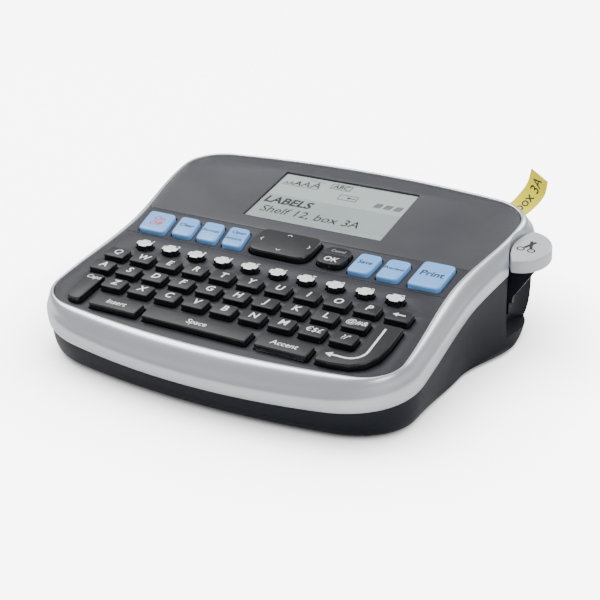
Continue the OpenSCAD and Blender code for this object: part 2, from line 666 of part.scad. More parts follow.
// --- cutter ---------------------------------------------------------------
module cutter_button() {
    color("#c3c6ca") {
        intersection() {
            union() {
                on_panel(-cutter_drop - cutter_t) translate([cutter_x, cutter_s, 0])
                    cylinder(r = cutter_r, h = cutter_t, $fn = tau_steps);
                translate([0, cutter_y + 1.2, 0]) rotate([90, 0, 0]) linear_extrude(2.4)
                    polygon([[wall_x + 0.6, stem_low], [wall_x + 12, disc_z + 0.6], [wall_x + 0.6, disc_z + 0.6]]);
            }
            scoop(-cutter_fit, 0, 80);
        }
        translate([arm_x, cutter_y - 1.2, stem_low])
            cube([wall_x - arm_x + 2, 2.4, stem_high - stem_low]);
        translate([0, 0, arm_low]) linear_extrude(arm_high - arm_low) polygon([
            [arm_x, cutter_y - 3], [arm_x + 1.4, cutter_y - 3], [arm_x + 1.4, spring_y - 4.5],
            [spring_x + 1.2, spring_y - 2], [spring_x + 1.2, spring_y + 2], [arm_x + 1.4, platen_y - 1],
            [blade_x1 + 1, blade_y + 0.2], [blade_x1, blade_y + 1.1], [blade_x1 - 2.4, blade_y + 1.1],
            [blade_x1 - 2.4, blade_y + 0.4], [blade_x1 + 0.1, blade_y + 0.4], [arm_x, platen_y - 1.6]]);
    }
}
module cutter_blade() {
    color("#9aa0a6") translate([0, blade_y + 0.4 - blade_t, 0]) rotate([90, 0, 180])
        mirror([1, 0, 0]) linear_extrude(blade_t) polygon([
            [blade_x1, arm_low + 0.5], [blade_x1, tape_z + 2.5], [blade_x0, tape_z + 2.5],
            [blade_x0, tape_z + label_t / 2 + blade_rest], [blade_x1 - 2.4, tape_z + label_t / 2 + blade_rest + 0.5],
            [blade_x1 - 2.4, arm_low + 0.5]]);
}
// A round wire swept along a helix.
spring_turns = 6;
spring_coil_r = 1.5;
spring_wire_r = 0.25;
module cutter_spring() {
    steps = spring_turns * 12;
    length = arm_low - spring_low - 0.3 - 2 * spring_wire_r;
    color("#a9adb2") loft([for (i = [0 : steps]) let (a = i * 30, z = spring_low + 0.05 + spring_wire_r + length * i / steps)
        [for (b = [0 : 60 : 300]) [spring_x + (spring_coil_r + spring_wire_r * cos(b)) * cos(a),
            spring_y + (spring_coil_r + spring_wire_r * cos(b)) * sin(a), z + spring_wire_r * sin(b)]]]);
}

// --- tape drive -----------------------------------------------------------
// Turns a shape drawn in (y, z) so that it stands across the x axis.
module across(x, at) {
    translate([x, at[0], at[1]]) rotate([90, 0, 90]) children();
}
function tooth(m, r, a, pitch) = [
    [(r - 1.1 * m) * cos(a - 0.30 * pitch), (r - 1.1 * m) * sin(a - 0.30 * pitch)],
    [(r - 0.2 * m) * cos(a - 0.215 * pitch), (r - 0.2 * m) * sin(a - 0.215 * pitch)],
    [(r + 0.75 * m) * cos(a - 0.09 * pitch), (r + 0.75 * m) * sin(a - 0.09 * pitch)],
    [(r + 0.75 * m) * cos(a + 0.09 * pitch), (r + 0.75 * m) * sin(a + 0.09 * pitch)],
    [(r - 0.2 * m) * cos(a + 0.215 * pitch), (r - 0.2 * m) * sin(a + 0.215 * pitch)],
    [(r - 1.1 * m) * cos(a + 0.30 * pitch), (r - 1.1 * m) * sin(a + 0.30 * pitch)]];
// A gear with one tooth centred on the phase angle.
module gear(teeth, phase, bore) {
    difference() {
        linear_extrude(gear_t) polygon([for (i = [0 : teeth - 1])
            each tooth(gear_m, gear_m * teeth / 2, phase + i * 360 / teeth, 360 / teeth)]);
        translate([0, 0, -1]) cylinder(r = bore, h = gear_t + 2, $fn = 48);
    }
}
// The phase of a driven gear that puts its gap on the driver's tooth.
function meshed(teeth, driver_teeth, driver_phase, toward) =
    toward + 180 + (180 - driver_teeth * (driver_phase - toward)) / teeth;
toward_front = 180 + train_angle;
platen_phase = toward_front;
rear_phase = meshed(idler_teeth, platen_teeth, platen_phase, toward_front);
middle_phase = meshed(idler_teeth, idler_teeth, rear_phase, toward_front);
front_phase = meshed(idler_teeth, idler_teeth, middle_phase, toward_front);
pinion_phase = meshed(pinion_teeth, idler_teeth, front_phase, toward_front);
ribbon_phase = meshed(ribbon_teeth, idler_teeth, middle_phase, ribbon_angle);
module idler(at, phase) {
    color("#ece9de") across(gear_x, at) gear(idler_teeth, phase, axle_r + run_fit);
}
module idler_gear_rear() {
    idler(rear_at, rear_phase);
}
module idler_gear_middle() {
    idler(middle_at, middle_phase);
}
module idler_gear_front() {
    idler(front_at, front_phase);
}
module platen_gear() {
    color("#ece9de") across(gear_x, [platen_y, platen_z]) gear(platen_teeth, platen_phase, axle_r);
}
module platen_shaft() {
    color("#b9bdc2") across(gear_x - 0.6, [platen_y, platen_z])
        cylinder(r = axle_r, h = right_plate_x + plate_t + 0.2 - gear_x + 0.6, $fn = 48);
}
module platen_roller() {
    color("#26272a") across(mech_x - tape_w / 2 - 2, [platen_y, platen_z]) difference() {
        cylinder(r = platen_r, h = tape_w + 4, $fn = 48);
        translate([0, 0, -1]) cylinder(r = axle_r, h = tape_w + 6, $fn = 48);
    }
}
motor_r = 5.8;
shaft_r = 1;
module motor_pinion() {
    color("#c9a64e") across(gear_x, pinion_at) gear(pinion_teeth, pinion_phase, shaft_r - 0.2);
    color("#b9bdc2") across(gear_x - 0.4, pinion_at) cylinder(r = shaft_r, h = gear_t + plate_t + 4, $fn = 32);
}
module drive_motor() {
    color("#9fa3a8") across(plate_x + plate_t, pinion_at) difference() {
        cylinder(r = motor_r, h = cassette_w - 3, $fn = 64);
        translate([0, 0, -1]) cylinder(r = shaft_r + run_fit, h = 5, $fn = 32);
    }
}
module ribbon_gear() {
    color("#ece9de") across(gear_x, ribbon_at) {
        gear(ribbon_teeth, ribbon_phase, axle_r - 0.2);
        translate([0, 0, -0.4]) cylinder(r = axle_r, h = cassette_x1 - 2 - gear_x, $fn = 32);
    }
}
module plate_shape() {
    polygon([[pinion_at[0] - 8, base_z + base_floor + 0.6], [cassette_y1 - 2, base_z + base_floor + 0.6],
        [platen_y + 2.7, platen_z - 10], [platen_y + 2.7, platen_z + 5],
        [seam_back + 3, plane_z(seam_back + 3, -panel_t - 6.6)], [seam_back, plane_z(seam_back, -panel_t - 7.4)],
        [pinion_at[0] - 8, plane_z(pinion_at[0] - 8, -panel_t - 7.4)]]);
}
module mechanism_frame() {
    color("#7d8187") difference() {
        union() {
            across(plate_x, [0, 0]) linear_extrude(plate_t) plate_shape();
            across(right_plate_x, [0, 0]) linear_extrude(plate_t) polygon([
                [cassette_y1 + 0.4, platen_z - 8], [platen_y + 2.7, platen_z - 10],
                [platen_y + 2.7, platen_z + 4.2], [cassette_y1 + 0.4, platen_z + 4.2]]);
            translate([plate_x, platen_y + 1.2, platen_z - 9]) cube([right_plate_x - plate_x + 1, 1.5, 4]);
        }
        across(plate_x - 1, [platen_y, platen_z])
            cylinder(r = axle_r + run_fit, h = right_plate_x - plate_x + plate_t + 2, $fn = 48);
        across(plate_x - 1, ribbon_at) cylinder(r = axle_r + run_fit, h = plate_t + 2, $fn = 48);
        across(plate_x - 1, pinion_at) cylinder(r = shaft_r + 0.5, h = plate_t + 2, $fn = 48);
        for (at = [rear_at, middle_at, front_at])
            across(plate_x - 1, at) cylinder(r = axle_r, h = plate_t + 2, $fn = 48);
    }
}
module gear_axles() {
    color("#b9bdc2") for (at = [rear_at, middle_at, front_at])
        across(gear_x - 0.4, at) cylinder(r = axle_r, h = gear_t + plate_t + 0.7, $fn = 48);
}
module print_head() {
    color("#5b4636") translate([mech_x - tape_w / 2 - 1, platen_y - 2.6, tape_z + label_t / 2 + 0.1])
        cube([tape_w + 2, 5, 1.7]);
}

// --- cassette -------------------------------------------------------------
wall_c = 1.2;
roll_at = [cassette_y0 + wall_c + roll_r + 0.3, cassette_z0 + wall_c + roll_r + 0.3];
supply_at = [cassette_y1 - 7, cassette_z1 - 9];
post_r = 2;
// The side view of the cassette, drawn in by w: it ducks under the key board at its front.
bay_y = seam_back + 1;
bay_n = mat_n - board_t - 0.7;
lid_n = -panel_t - 0.6;
lid_y = (cassette_z1 - plane_z(0, lid_n)) * c_tilt / s_tilt;
function cassette_profile(w) = [[cassette_y0 + w, cassette_z0 + w], [cassette_y1 - w, cassette_z0 + w],
    [cassette_y1 - w, cassette_z1 - w], [lid_y + w, cassette_z1 - w],
    [bay_y + w, plane_z(bay_y + w, lid_n) - w], [bay_y + w, plane_z(bay_y + w, bay_n) - w],
    [cassette_y0 + w, plane_z(cassette_y0 + w, bay_n) - w]];
module cassette_shell() {
    color("#55585f") difference() {
        across(cassette_x0, [0, 0]) linear_extrude(cassette_w) polygon(cassette_profile(0));
        across(cassette_x0 + wall_c, [0, 0]) linear_extrude(cassette_w - 2 * wall_c)
            polygon(cassette_profile(wall_c));
        across(cassette_x0 - 1, ribbon_at) cylinder(r = axle_r + 1, h = wall_c + 2, $fn = 32);
        translate([mech_x - tape_w / 2 - 0.4, cassette_y1 - 4.5, cassette_z1 - 2]) cube([tape_w + 0.8, 2.2, 4]);
    }
    color("#55585f") for (at = [roll_at, supply_at])
        across(cassette_x0 + wall_c - eps, at) cylinder(r = post_r, h = cassette_w - 2 * wall_c + 2 * eps, $fn = 32);
}
module ring(x, at, outer, bore, h) {
    across(x, at) difference() {
        cylinder(r = outer, h = h, $fn = 64);
        translate([0, 0, -1]) cylinder(r = bore, h = h + 2, $fn = 48);
    }
}
module tape_spool() {
    color("#f4e93a") ring(mech_x - tape_w / 2, roll_at, roll_r, post_r + run_fit, tape_w);
}
module ribbon_supply() {
    color("#17171a") ring(mech_x - tape_w / 2, supply_at, 4.2, post_r + run_fit, tape_w);
}
module ribbon_takeup() {
    color("#17171a") ring(mech_x - tape_w / 2, ribbon_at, 2.8, axle_r, tape_w);
}
module tape_web() {
    color("#f4e93a") {
        translate([mech_x - tape_w / 2, cassette_y1 - 3.6, tape_z - label_t / 2])
            cube([tape_w, blade_y - 1 - cassette_y1 + 3.6, label_t]);
        translate([mech_x - tape_w / 2, cassette_y1 - 3.6, cassette_z1 - 4])
            cube([tape_w, label_t, tape_z - cassette_z1 + 4]);
    }
}
// Middle of the free label and the direction across it, from the blade outwards
label_path = [[[55, 0, 0], [1, 0, 0]], [[58.5, 5.4, 0.4], [0.94, -0.34, 0]],
    [[63, 10, 2.8], [0.8, -0.6, 0]], [[66.3, 12.4, 6.6], [0.8, -0.6, -0.02]],
    [[68.6, 13.7, 11], [0.77, -0.63, -0.08]], [[69.5, 13.6, 16.4], [0.74, -0.65, -0.12]]];
label_start = [mech_shift, blade_y + 1.2, tape_z];
function spline(v, i, t) = let (a = v[max(i - 1, 0)], b = v[i], c = v[i + 1], d = v[min(i + 2, len(v) - 1)])
    0.5 * (2 * b + (c - a) * t + (2 * a - 5 * b + 4 * c - d) * t * t + (3 * b - a - 3 * c + d) * t * t * t);
function label_ring(i, t) = let (mid = label_start + spline([for (p = label_path) p[0]], i, t),
        side = unit(spline([for (p = label_path) p[1]], i, t)) * tape_w / 2,
        ahead = spline([for (p = label_path) p[0]], i, t + 0.02) - spline([for (p = label_path) p[0]], i, t - 0.02),
        up = unit(cross(side, ahead)) * label_t / 2)
    [mid - side - up, mid + side - up, mid + side + up, mid - side + up];
module label_tape() {
    last = len(label_path) - 2;
    color("#f4e93a") loft(concat([for (i = [0 : last], t = [0 : 0.25 : 0.75]) label_ring(i, t)],
        [label_ring(last, 1)]));
}

// --- doors and power ------------------------------------------------------
module hinged_door(x0, x1, edge, tint) {
    boss_x = (x0 + x1) / 2;
    knuckle_w = min(5, (x1 - x0 - boss_w) / 2 - 1.4);
    color(tint) difference() {
        union() {
            translate([x0, edge[0], base_z]) cube([x1 - x0, edge[1] - edge[0], door_t]);
            for (x = [boss_x - boss_w / 2 - 0.5 - knuckle_w, boss_x + boss_w / 2 + 0.5])
                translate([x, edge[0], pin_z]) rotate([0, 90, 0])
                    cylinder(r = boss_r - 0.1, h = knuckle_w, $fn = 32);
            translate([boss_x - 3, edge[1] - 1.6, base_z]) cube([6, 1.4, 4]);
        }
        translate([x0 - 1, edge[0], pin_z]) rotate([0, 90, 0])
            cylinder(r = pin_r + run_fit, h = x1 - x0 + 2, $fn = 32);
        translate([boss_x - boss_w / 2 - 0.4, edge[0] - 4, 0]) cube([boss_w + 0.8, 6.7, 12]);
        for (i = [0 : 4]) translate([boss_x - 5, edge[1] - 6 - i * 1.6, base_z - 1])
            cube([10, 0.7, 1.4]);
    }
}
module cassette_door() {
    hinged_door(door_x0, door_x1, door_edge, "#1b1d26");
}
module battery_door() {
    hinged_door(battery_x0, battery_x1, battery_door_edge, "#1b1d26");
}
module door_pins() {
    color("#b9bdc2") {
        translate([door_x0, door_edge[0], pin_z]) rotate([0, 90, 0])
            cylinder(r = pin_r, h = door_x1 - door_x0, $fn = 32);
        translate([battery_x0 + 15, battery_door_edge[0], pin_z]) rotate([0, 90, 0])
            cylinder(r = pin_r, h = battery_x1 - battery_x0 - 30, $fn = 32);
    }
}
module battery_pack() {
    battery_z0 = base_z + 5.2;
    color("#2f5f9e") translate([battery_x0 + 1, battery_y0, battery_z0])
        rotate([panel_tilt, 0, 0]) translate([0, 1.5, -0.6]) cube([battery_w, battery_d, 9]);
}

bottom_shell();
rim_frame();
key_panel();
function_panel();
screen_panel();
display_window();
lcd_panel();
display_board();
main_board();
keypad_mat();
number_keys();
top_letter_keys();
home_letter_keys();
lower_letter_keys();
caps_key();
insert_key();
space_key();
accent_key();
return_key();
on_off_key();
clear_key();
format_key();
settings_key();
save_key();
preview_key();
print_key();
nav_pivot();
nav_pad();
cancel_key();
ok_key();
cutter_button();
cutter_blade();
cutter_spring();
mechanism_frame();
gear_axles();
idler_gear_front();
idler_gear_middle();
idler_gear_rear();
motor_pinion();
drive_motor();
platen_roller();
platen_shaft();
platen_gear();
print_head();
ribbon_gear();
ribbon_takeup();
ribbon_supply();
tape_spool();
cassette_shell();
tape_web();
label_tape();
cassette_door();
battery_door();
door_pins();
battery_pack();
dc_jack();
rubber_feet();
case_screws();
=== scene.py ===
"""Looks of a desktop label maker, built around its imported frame. Metres, +Y to the back, +Z up."""
from __future__ import annotations

import json
import logging
import math
from dataclasses import dataclass, field, replace
from enum import Enum
from typing import Callable, Sequence

import bmesh
import bpy
from mathutils import Matrix, Vector

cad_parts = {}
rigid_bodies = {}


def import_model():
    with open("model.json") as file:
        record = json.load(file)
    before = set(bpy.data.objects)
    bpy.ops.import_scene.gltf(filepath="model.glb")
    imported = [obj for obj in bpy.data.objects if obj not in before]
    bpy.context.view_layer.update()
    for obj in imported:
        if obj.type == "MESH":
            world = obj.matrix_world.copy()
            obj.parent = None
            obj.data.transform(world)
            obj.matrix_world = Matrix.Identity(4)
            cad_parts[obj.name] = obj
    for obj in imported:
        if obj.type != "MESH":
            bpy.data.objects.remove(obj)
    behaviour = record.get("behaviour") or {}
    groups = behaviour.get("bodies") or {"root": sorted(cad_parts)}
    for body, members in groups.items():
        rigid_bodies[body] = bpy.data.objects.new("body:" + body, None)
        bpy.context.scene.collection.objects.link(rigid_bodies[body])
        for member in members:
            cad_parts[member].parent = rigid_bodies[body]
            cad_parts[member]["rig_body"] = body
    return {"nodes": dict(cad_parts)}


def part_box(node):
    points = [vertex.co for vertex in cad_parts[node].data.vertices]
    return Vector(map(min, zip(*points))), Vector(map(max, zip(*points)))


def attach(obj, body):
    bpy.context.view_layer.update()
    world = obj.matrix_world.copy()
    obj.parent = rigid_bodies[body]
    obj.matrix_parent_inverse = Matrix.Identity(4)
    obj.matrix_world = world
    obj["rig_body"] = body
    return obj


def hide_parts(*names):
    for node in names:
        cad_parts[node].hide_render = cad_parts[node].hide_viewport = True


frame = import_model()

LOG = logging.getLogger("label_maker")
MM = 0.001
MERGE = 0.000002  # Metres under which two vertices are one
INK = 0.01  # Millimetres from a key's top to the middle of its printed legend
LABEL_TEXT = "Shelf 12, box 3A"
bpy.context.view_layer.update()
Colour = tuple[float, float, float]


# --- the plane and the outlines of the case --------------------------------
@dataclass(frozen=True)
class PanelPlane:
    """The sloping plane of the whole top; s runs up the slope and n out of it, in millimetres."""

    tilt: float = math.radians(10.5)
    rise: float = 32.0

    def point(self, x: float, s: float, n: float) -> Vector:
        """A point of the plane, raised by n.

        Args:
            x: Millimetres to the right.
            s: Millimetres up the slope.
            n: Millimetres out of the plane.

        Returns:
            The point in the row frame, in metres.
        """
        return self.place(x, s, n).translation

    def place(self, x: float, s: float, n: float, turn: float = 0.0) -> Matrix:
        """A placement that lays a flat drawing, in metres, on the plane.

        Args:
            x: Millimetres to the right.
            s: Millimetres up the slope.
            n: Millimetres out of the plane.
            turn: Turn in the plane, in degrees, anticlockwise from above.

        Returns:
            The placement.
        """
        base = Matrix.Translation((0, 0, self.rise * MM)) @ Matrix.Rotation(self.tilt, 4, "X")
        spin = Matrix.Rotation(math.radians(turn), 4, "Z")
        return base @ Matrix.Translation((x * MM, s * MM, n * MM)) @ spin

    def height(self, point: Vector) -> float:
        """Millimetres by which a point of the row frame stands out of the plane."""
        return (self.place(0, 0, 0).inverted() @ point).z / MM

    @property
    def normal(self) -> Vector:
        """The direction out of the plane."""
        return Vector((0, -math.sin(self.tilt), math.cos(self.tilt)))


PLANE = PanelPlane()


@dataclass(frozen=True)
class Outline:
    """A waisted, round-cornered outline in the panel plane, in millimetres."""

    front: float
    back: float
    front_half: float
    waist_half: float
    rear_half: float
    front_corner: float
    rear_corner: float
    front_bow: float
    rear_bow: float
    waist: float = -4.0
    detail: int = 4

    def inset(self, d: float) -> Outline:
        """The outline drawn in by d on every side."""
        return replace(self, front=self.front - d, back=self.back - d, front_half=self.front_half - d,
                       waist_half=self.waist_half - d, rear_half=self.rear_half - d,
                       front_corner=self.front_corner - d / 2, rear_corner=self.rear_corner - d / 2)

    def _curve(self, a: Vector, b: Vector, c: Vector, d: Vector, steps: int) -> list[Vector]:
        """Points of a cubic curve from a, short of its end d."""
        count = steps * self.detail
        return [(1 - t) ** 3 * a + 3 * t * (1 - t) ** 2 * b + 3 * t * t * (1 - t) * c + t ** 3 * d
                for t in (i / count for i in range(count))]

    def around(self) -> list[Vector]:
        """The whole outline, anticlockwise from the middle of the front.

        Returns:
            Points of the plane, in millimetres.
        """
        front_end = Vector((self.front_half - self.front_corner, self.front_bow - self.front))
        side_start = Vector((self.front_half, self.front_bow + self.front_corner - self.front))
        waist = Vector((self.waist_half, self.waist))
        side_end = Vector((self.rear_half, self.back - self.rear_bow - self.rear_corner))
        back_start = Vector((self.rear_half - self.rear_corner, self.back - self.rear_bow))
        front_slope, back_slope, k = 2 * self.front_bow / front_end.x, 2 * self.rear_bow / back_start.x, 0.55
        half = self._curve(Vector((0, -self.front)), Vector((front_end.x / 3, -self.front)),
                           Vector((front_end.x * 2 / 3, front_end.y - self.front_bow * 2 / 3)), front_end, 5)
        half += self._curve(front_end, front_end + k * self.front_corner * Vector((1, front_slope)),
                            side_start - Vector((0, k * self.front_corner)), side_start, 5)
        half += self._curve(side_start, side_start.lerp(Vector((self.front_half, self.waist)), 0.35),
                            Vector((self.waist_half, side_start.y)).lerp(waist, 0.65), waist, 3)
        half += self._curve(waist, waist.lerp(Vector((self.waist_half, side_end.y)), 0.35),
                            Vector((self.rear_half, self.waist)).lerp(side_end, 0.65), side_end, 6)
        half += self._curve(side_end, side_end + Vector((0, k * self.rear_corner)),
                            back_start + k * self.rear_corner * Vector((1, -back_slope)), back_start, 6)
        half += self._curve(back_start, Vector((back_start.x * 2 / 3, back_start.y + self.rear_bow * 2 / 3)),
                            Vector((back_start.x / 3, self.back)), Vector((0, self.back)), 5)
        half.append(Vector((0, self.back)))
        return half + [Vector((-p.x, p.y)) for p in reversed(half[1:-1])]


PANEL_OUTLINE = Outline(60, 64, 67, 65, 71.4, 12, 14, 4, 4)
RIM_OUTLINE = Outline(69, 69, 71.6, 70.9, 76, 24, 17, 4.5, 4.5)
FOOT_OUTLINE = Outline(61, 54, 68.5, 70.5, 78.4, 20, 22, 4, 3)


# --- shader node groups ----------------------------------------------------
def join(tree: bpy.types.NodeTree,
         *wires: tuple[bpy.types.Node, str | int, bpy.types.Node, str | int]) -> None:
    """Links nodes of a tree.

    Args:
        tree: The tree.
        wires: For each link a node, its output, the next node and its input.
    """
    for start, output, end, entry in wires:
        tree.links.new(start.outputs[output], end.inputs[entry])


class SurfaceGroups:
    """The surface effects that finishes share, each built once."""

    def __init__(self) -> None:
        """Builds the groups."""
        self.grain = self._grain()
        self.wear = self._wear()
        self.dust = self._dust()

    @staticmethod
    def _new(name: str, inputs: Sequence[tuple[str, str, object]],
             outputs: Sequence[tuple[str, str]]) -> tuple[bpy.types.NodeTree, bpy.types.Node, bpy.types.Node]:
        """A group with its sockets.

        Args:
            name: Name of the group.
            inputs: Name, socket type and default of each input.
            outputs: Name and socket type of each output.

        Returns:
            The tree, its input node and its output node.
        """
        tree = bpy.data.node_groups.new(name, "ShaderNodeTree")
        for label, kind, default in inputs:
            socket = tree.interface.new_socket(name=label, in_out="INPUT", socket_type=kind)
            if default is not None:
                socket.default_value = default
        for label, kind in outputs:
            tree.interface.new_socket(name=label, in_out="OUTPUT", socket_type=kind)
        return tree, tree.nodes.new("NodeGroupInput"), tree.nodes.new("NodeGroupOutput")

    def _grain(self) -> bpy.types.NodeTree:
        """Fine moulded grain over a slow drift of tone."""
        tree, given, made = self._new(
            "moulded_grain",
            [("Vector", "NodeSocketVector", None), ("Scale", "NodeSocketFloat", 2000.0),
             ("Tone A", "NodeSocketColor", (0.5, 0.5, 0.5, 1)),
             ("Tone B", "NodeSocketColor", (0.6, 0.6, 0.6, 1)),
             ("Roughness", "NodeSocketFloat", 0.4), ("Swing", "NodeSocketFloat", 0.05)],
            [("Color", "NodeSocketColor"), ("Roughness", "NodeSocketFloat"), ("Height", "NodeSocketFloat")])
        fine, slow, mix = (tree.nodes.new(k) for k in
                           ("ShaderNodeTexNoise", "ShaderNodeTexNoise", "ShaderNodeMix"))
        swing, offset = (tree.nodes.new("ShaderNodeMath") for _ in range(2))
        share, blend = (tree.nodes.new("ShaderNodeMath") for _ in range(2))
        mix.data_type = "RGBA"
        slow.inputs["Scale"].default_value = 38.0
        fine.inputs["Detail"].default_value = 3.0
        share.operation, share.inputs[1].default_value = "MULTIPLY", 0.35
        blend.operation = "MULTIPLY_ADD"
        blend.inputs[1].default_value = 0.65
        swing.operation, offset.operation = "MULTIPLY_ADD", "SUBTRACT"
        offset.inputs[1].default_value = 0.5
        join(tree, (given, "Vector", fine, "Vector"), (given, "Vector", slow, "Vector"),
             (given, "Scale", fine, "Scale"), (fine, "Fac", share, 0), (slow, "Fac", blend, 0),
             (share, 0, blend, 2), (blend, 0, mix, "Factor"), (given, "Tone A", mix, "A"),
             (given, "Tone B", mix, "B"), (mix, "Result", made, "Color"), (blend, 0, offset, 0),
             (offset, 0, swing, 0), (given, "Swing", swing, 1), (given, "Roughness", swing, 2),
             (swing, 0, made, "Roughness"), (fine, "Fac", made, "Height"))
        return tree

    def _wear(self) -> bpy.types.NodeTree:
        """Edges rubbed a little brighter, broken up by noise."""
        tree, given, made = self._new(
            "edge_wear",
            [("Vector", "NodeSocketVector", None), ("Color", "NodeSocketColor", (0.5, 0.5, 0.5, 1)),
             ("Worn", "NodeSocketColor", (0.8, 0.8, 0.8, 1)), ("Amount", "NodeSocketFloat", 0.3)],
            [("Color", "NodeSocketColor")])
        shape, ramp = tree.nodes.new("ShaderNodeNewGeometry"), tree.nodes.new("ShaderNodeMapRange")
        noise = tree.nodes.new("ShaderNodeTexNoise")
        times, much = (tree.nodes.new("ShaderNodeMath") for _ in range(2))
        mix = tree.nodes.new("ShaderNodeMix")
        mix.data_type = "RGBA"
        ramp.inputs["From Min"].default_value, ramp.inputs["From Max"].default_value = 0.52, 0.62
        noise.inputs["Scale"].default_value = 260.0
        times.operation = much.operation = "MULTIPLY"
        join(tree, (given, "Vector", noise, "Vector"), (shape, "Pointiness", ramp, "Value"),
             (ramp, "Result", times, 0), (noise, "Fac", times, 1), (times, 0, much, 0),
             (given, "Amount", much, 1), (much, 0, mix, "Factor"), (given, "Color", mix, "A"),
             (given, "Worn", mix, "B"), (mix, "Result", made, "Color"))
        return tree

    def _dust(self) -> bpy.types.NodeTree:
        """A faint film that makes faces turned upwards a little rougher and paler."""
        tree, given, made = self._new(
            "settled_dust",
            [("Vector", "NodeSocketVector", None), ("Color", "NodeSocketColor", (0.5, 0.5, 0.5, 1)),
             ("Roughness", "NodeSocketFloat", 0.4), ("Amount", "NodeSocketFloat", 0.05)],
            [("Color", "NodeSocketColor"), ("Roughness", "NodeSocketFloat")])
        shape, split = tree.nodes.new("ShaderNodeNewGeometry"), tree.nodes.new("ShaderNodeSeparateXYZ")
        noise = tree.nodes.new("ShaderNodeTexNoise")
        times, much, rough = (tree.nodes.new("ShaderNodeMath") for _ in range(3))
        mix = tree.nodes.new("ShaderNodeMix")
        mix.data_type = "RGBA"
        mix.inputs["B"].default_value = (0.55, 0.54, 0.52, 1)
        noise.inputs["Scale"].default_value, noise.inputs["Detail"].default_value = 90.0, 6.0
        times.operation = much.operation = "MULTIPLY"
        times.use_clamp = True
        rough.operation = "ADD"
        join(tree, (given, "Vector", noise, "Vector"), (shape, "Normal", split, 0), (split, "Z", times, 0),
             (noise, "Fac", times, 1), (times, 0, much, 0), (given, "Amount", much, 1),
             (much, 0, mix, "Factor"), (given, "Color", mix, "A"), (mix, "Result", made, "Color"),
             (given, "Roughness", rough, 0), (much, 0, rough, 1), (rough, 0, made, "Roughness"))
        return tree


@dataclass(frozen=True)
class Finish:
    """A finish: its tones and how its surface is made."""

    name: str
    tone: Colour
    drift: float = 0.12
    rough: float = 0.42
    swing: float = 0.12
    metallic: float = 0.0
    coat: float = 0.0
    grain: float = 2200.0
    depth: float = 0.00002
    wear: float = 0.25
    dust: float = 0.04
    alpha: float = 1.0
    shine: float = 0.5

    def material(self, groups: SurfaceGroups) -> bpy.types.Material:
        """Builds the finish as a material.

        Args:
            groups: The shared surface effects.

        Returns:
            The material.
        """
        made = bpy.data.materials.new(self.name)
        made.use_nodes = True
        nodes = made.node_tree.nodes
        shader = nodes["Principled BSDF"]
        shader.inputs["Metallic"].default_value = self.metallic
        shader.inputs["Coat Weight"].default_value = self.coat
        shader.inputs["Coat Roughness"].default_value = 0.08
        shader.inputs["Alpha"].default_value = self.alpha
        shader.inputs["Specular IOR Level"].default_value = self.shine
        place = nodes.new("ShaderNodeTexCoord")
        grain = self._group(nodes, groups.grain)
        grain.inputs["Scale"].default_value = self.grain
        grain.inputs["Tone A"].default_value = (*(c * (1 - self.drift) for c in self.tone), 1)
        grain.inputs["Tone B"].default_value = (*(min(1.0, c * (1 + self.drift)) for c in self.tone), 1)
        grain.inputs["Roughness"].default_value = self.rough
        grain.inputs["Swing"].default_value = self.swing
        wear = self._group(nodes, groups.wear)
        wear.inputs["Worn"].default_value = (*(min(1.0, c * 1.25 + 0.06) for c in self.tone), 1)
        wear.inputs["Amount"].default_value = self.wear
        dust = self._group(nodes, groups.dust)
        dust.inputs["Amount"].default_value = self.dust
        bump = nodes.new("ShaderNodeBump")
        bump.inputs["Distance"].default_value = self.depth
        for group in (grain, wear, dust):
            join(made.node_tree, (place, "Object", group, "Vector"))
        join(made.node_tree, (grain, "Color", wear, "Color"), (wear, "Color", dust, "Color"),
             (grain, "Roughness", dust, "Roughness"), (dust, "Color", shader, "Base Color"),
             (dust, "Roughness", shader, "Roughness"), (grain, "Height", bump, "Height"),
             (bump, "Normal", shader, "Normal"))
        return made

    @staticmethod
    def _group(nodes: bpy.types.Nodes, tree: bpy.types.NodeTree) -> bpy.types.Node:
        """Places a group in a material's nodes."""
        node = nodes.new("ShaderNodeGroup")
        node.node_tree = tree
        return node


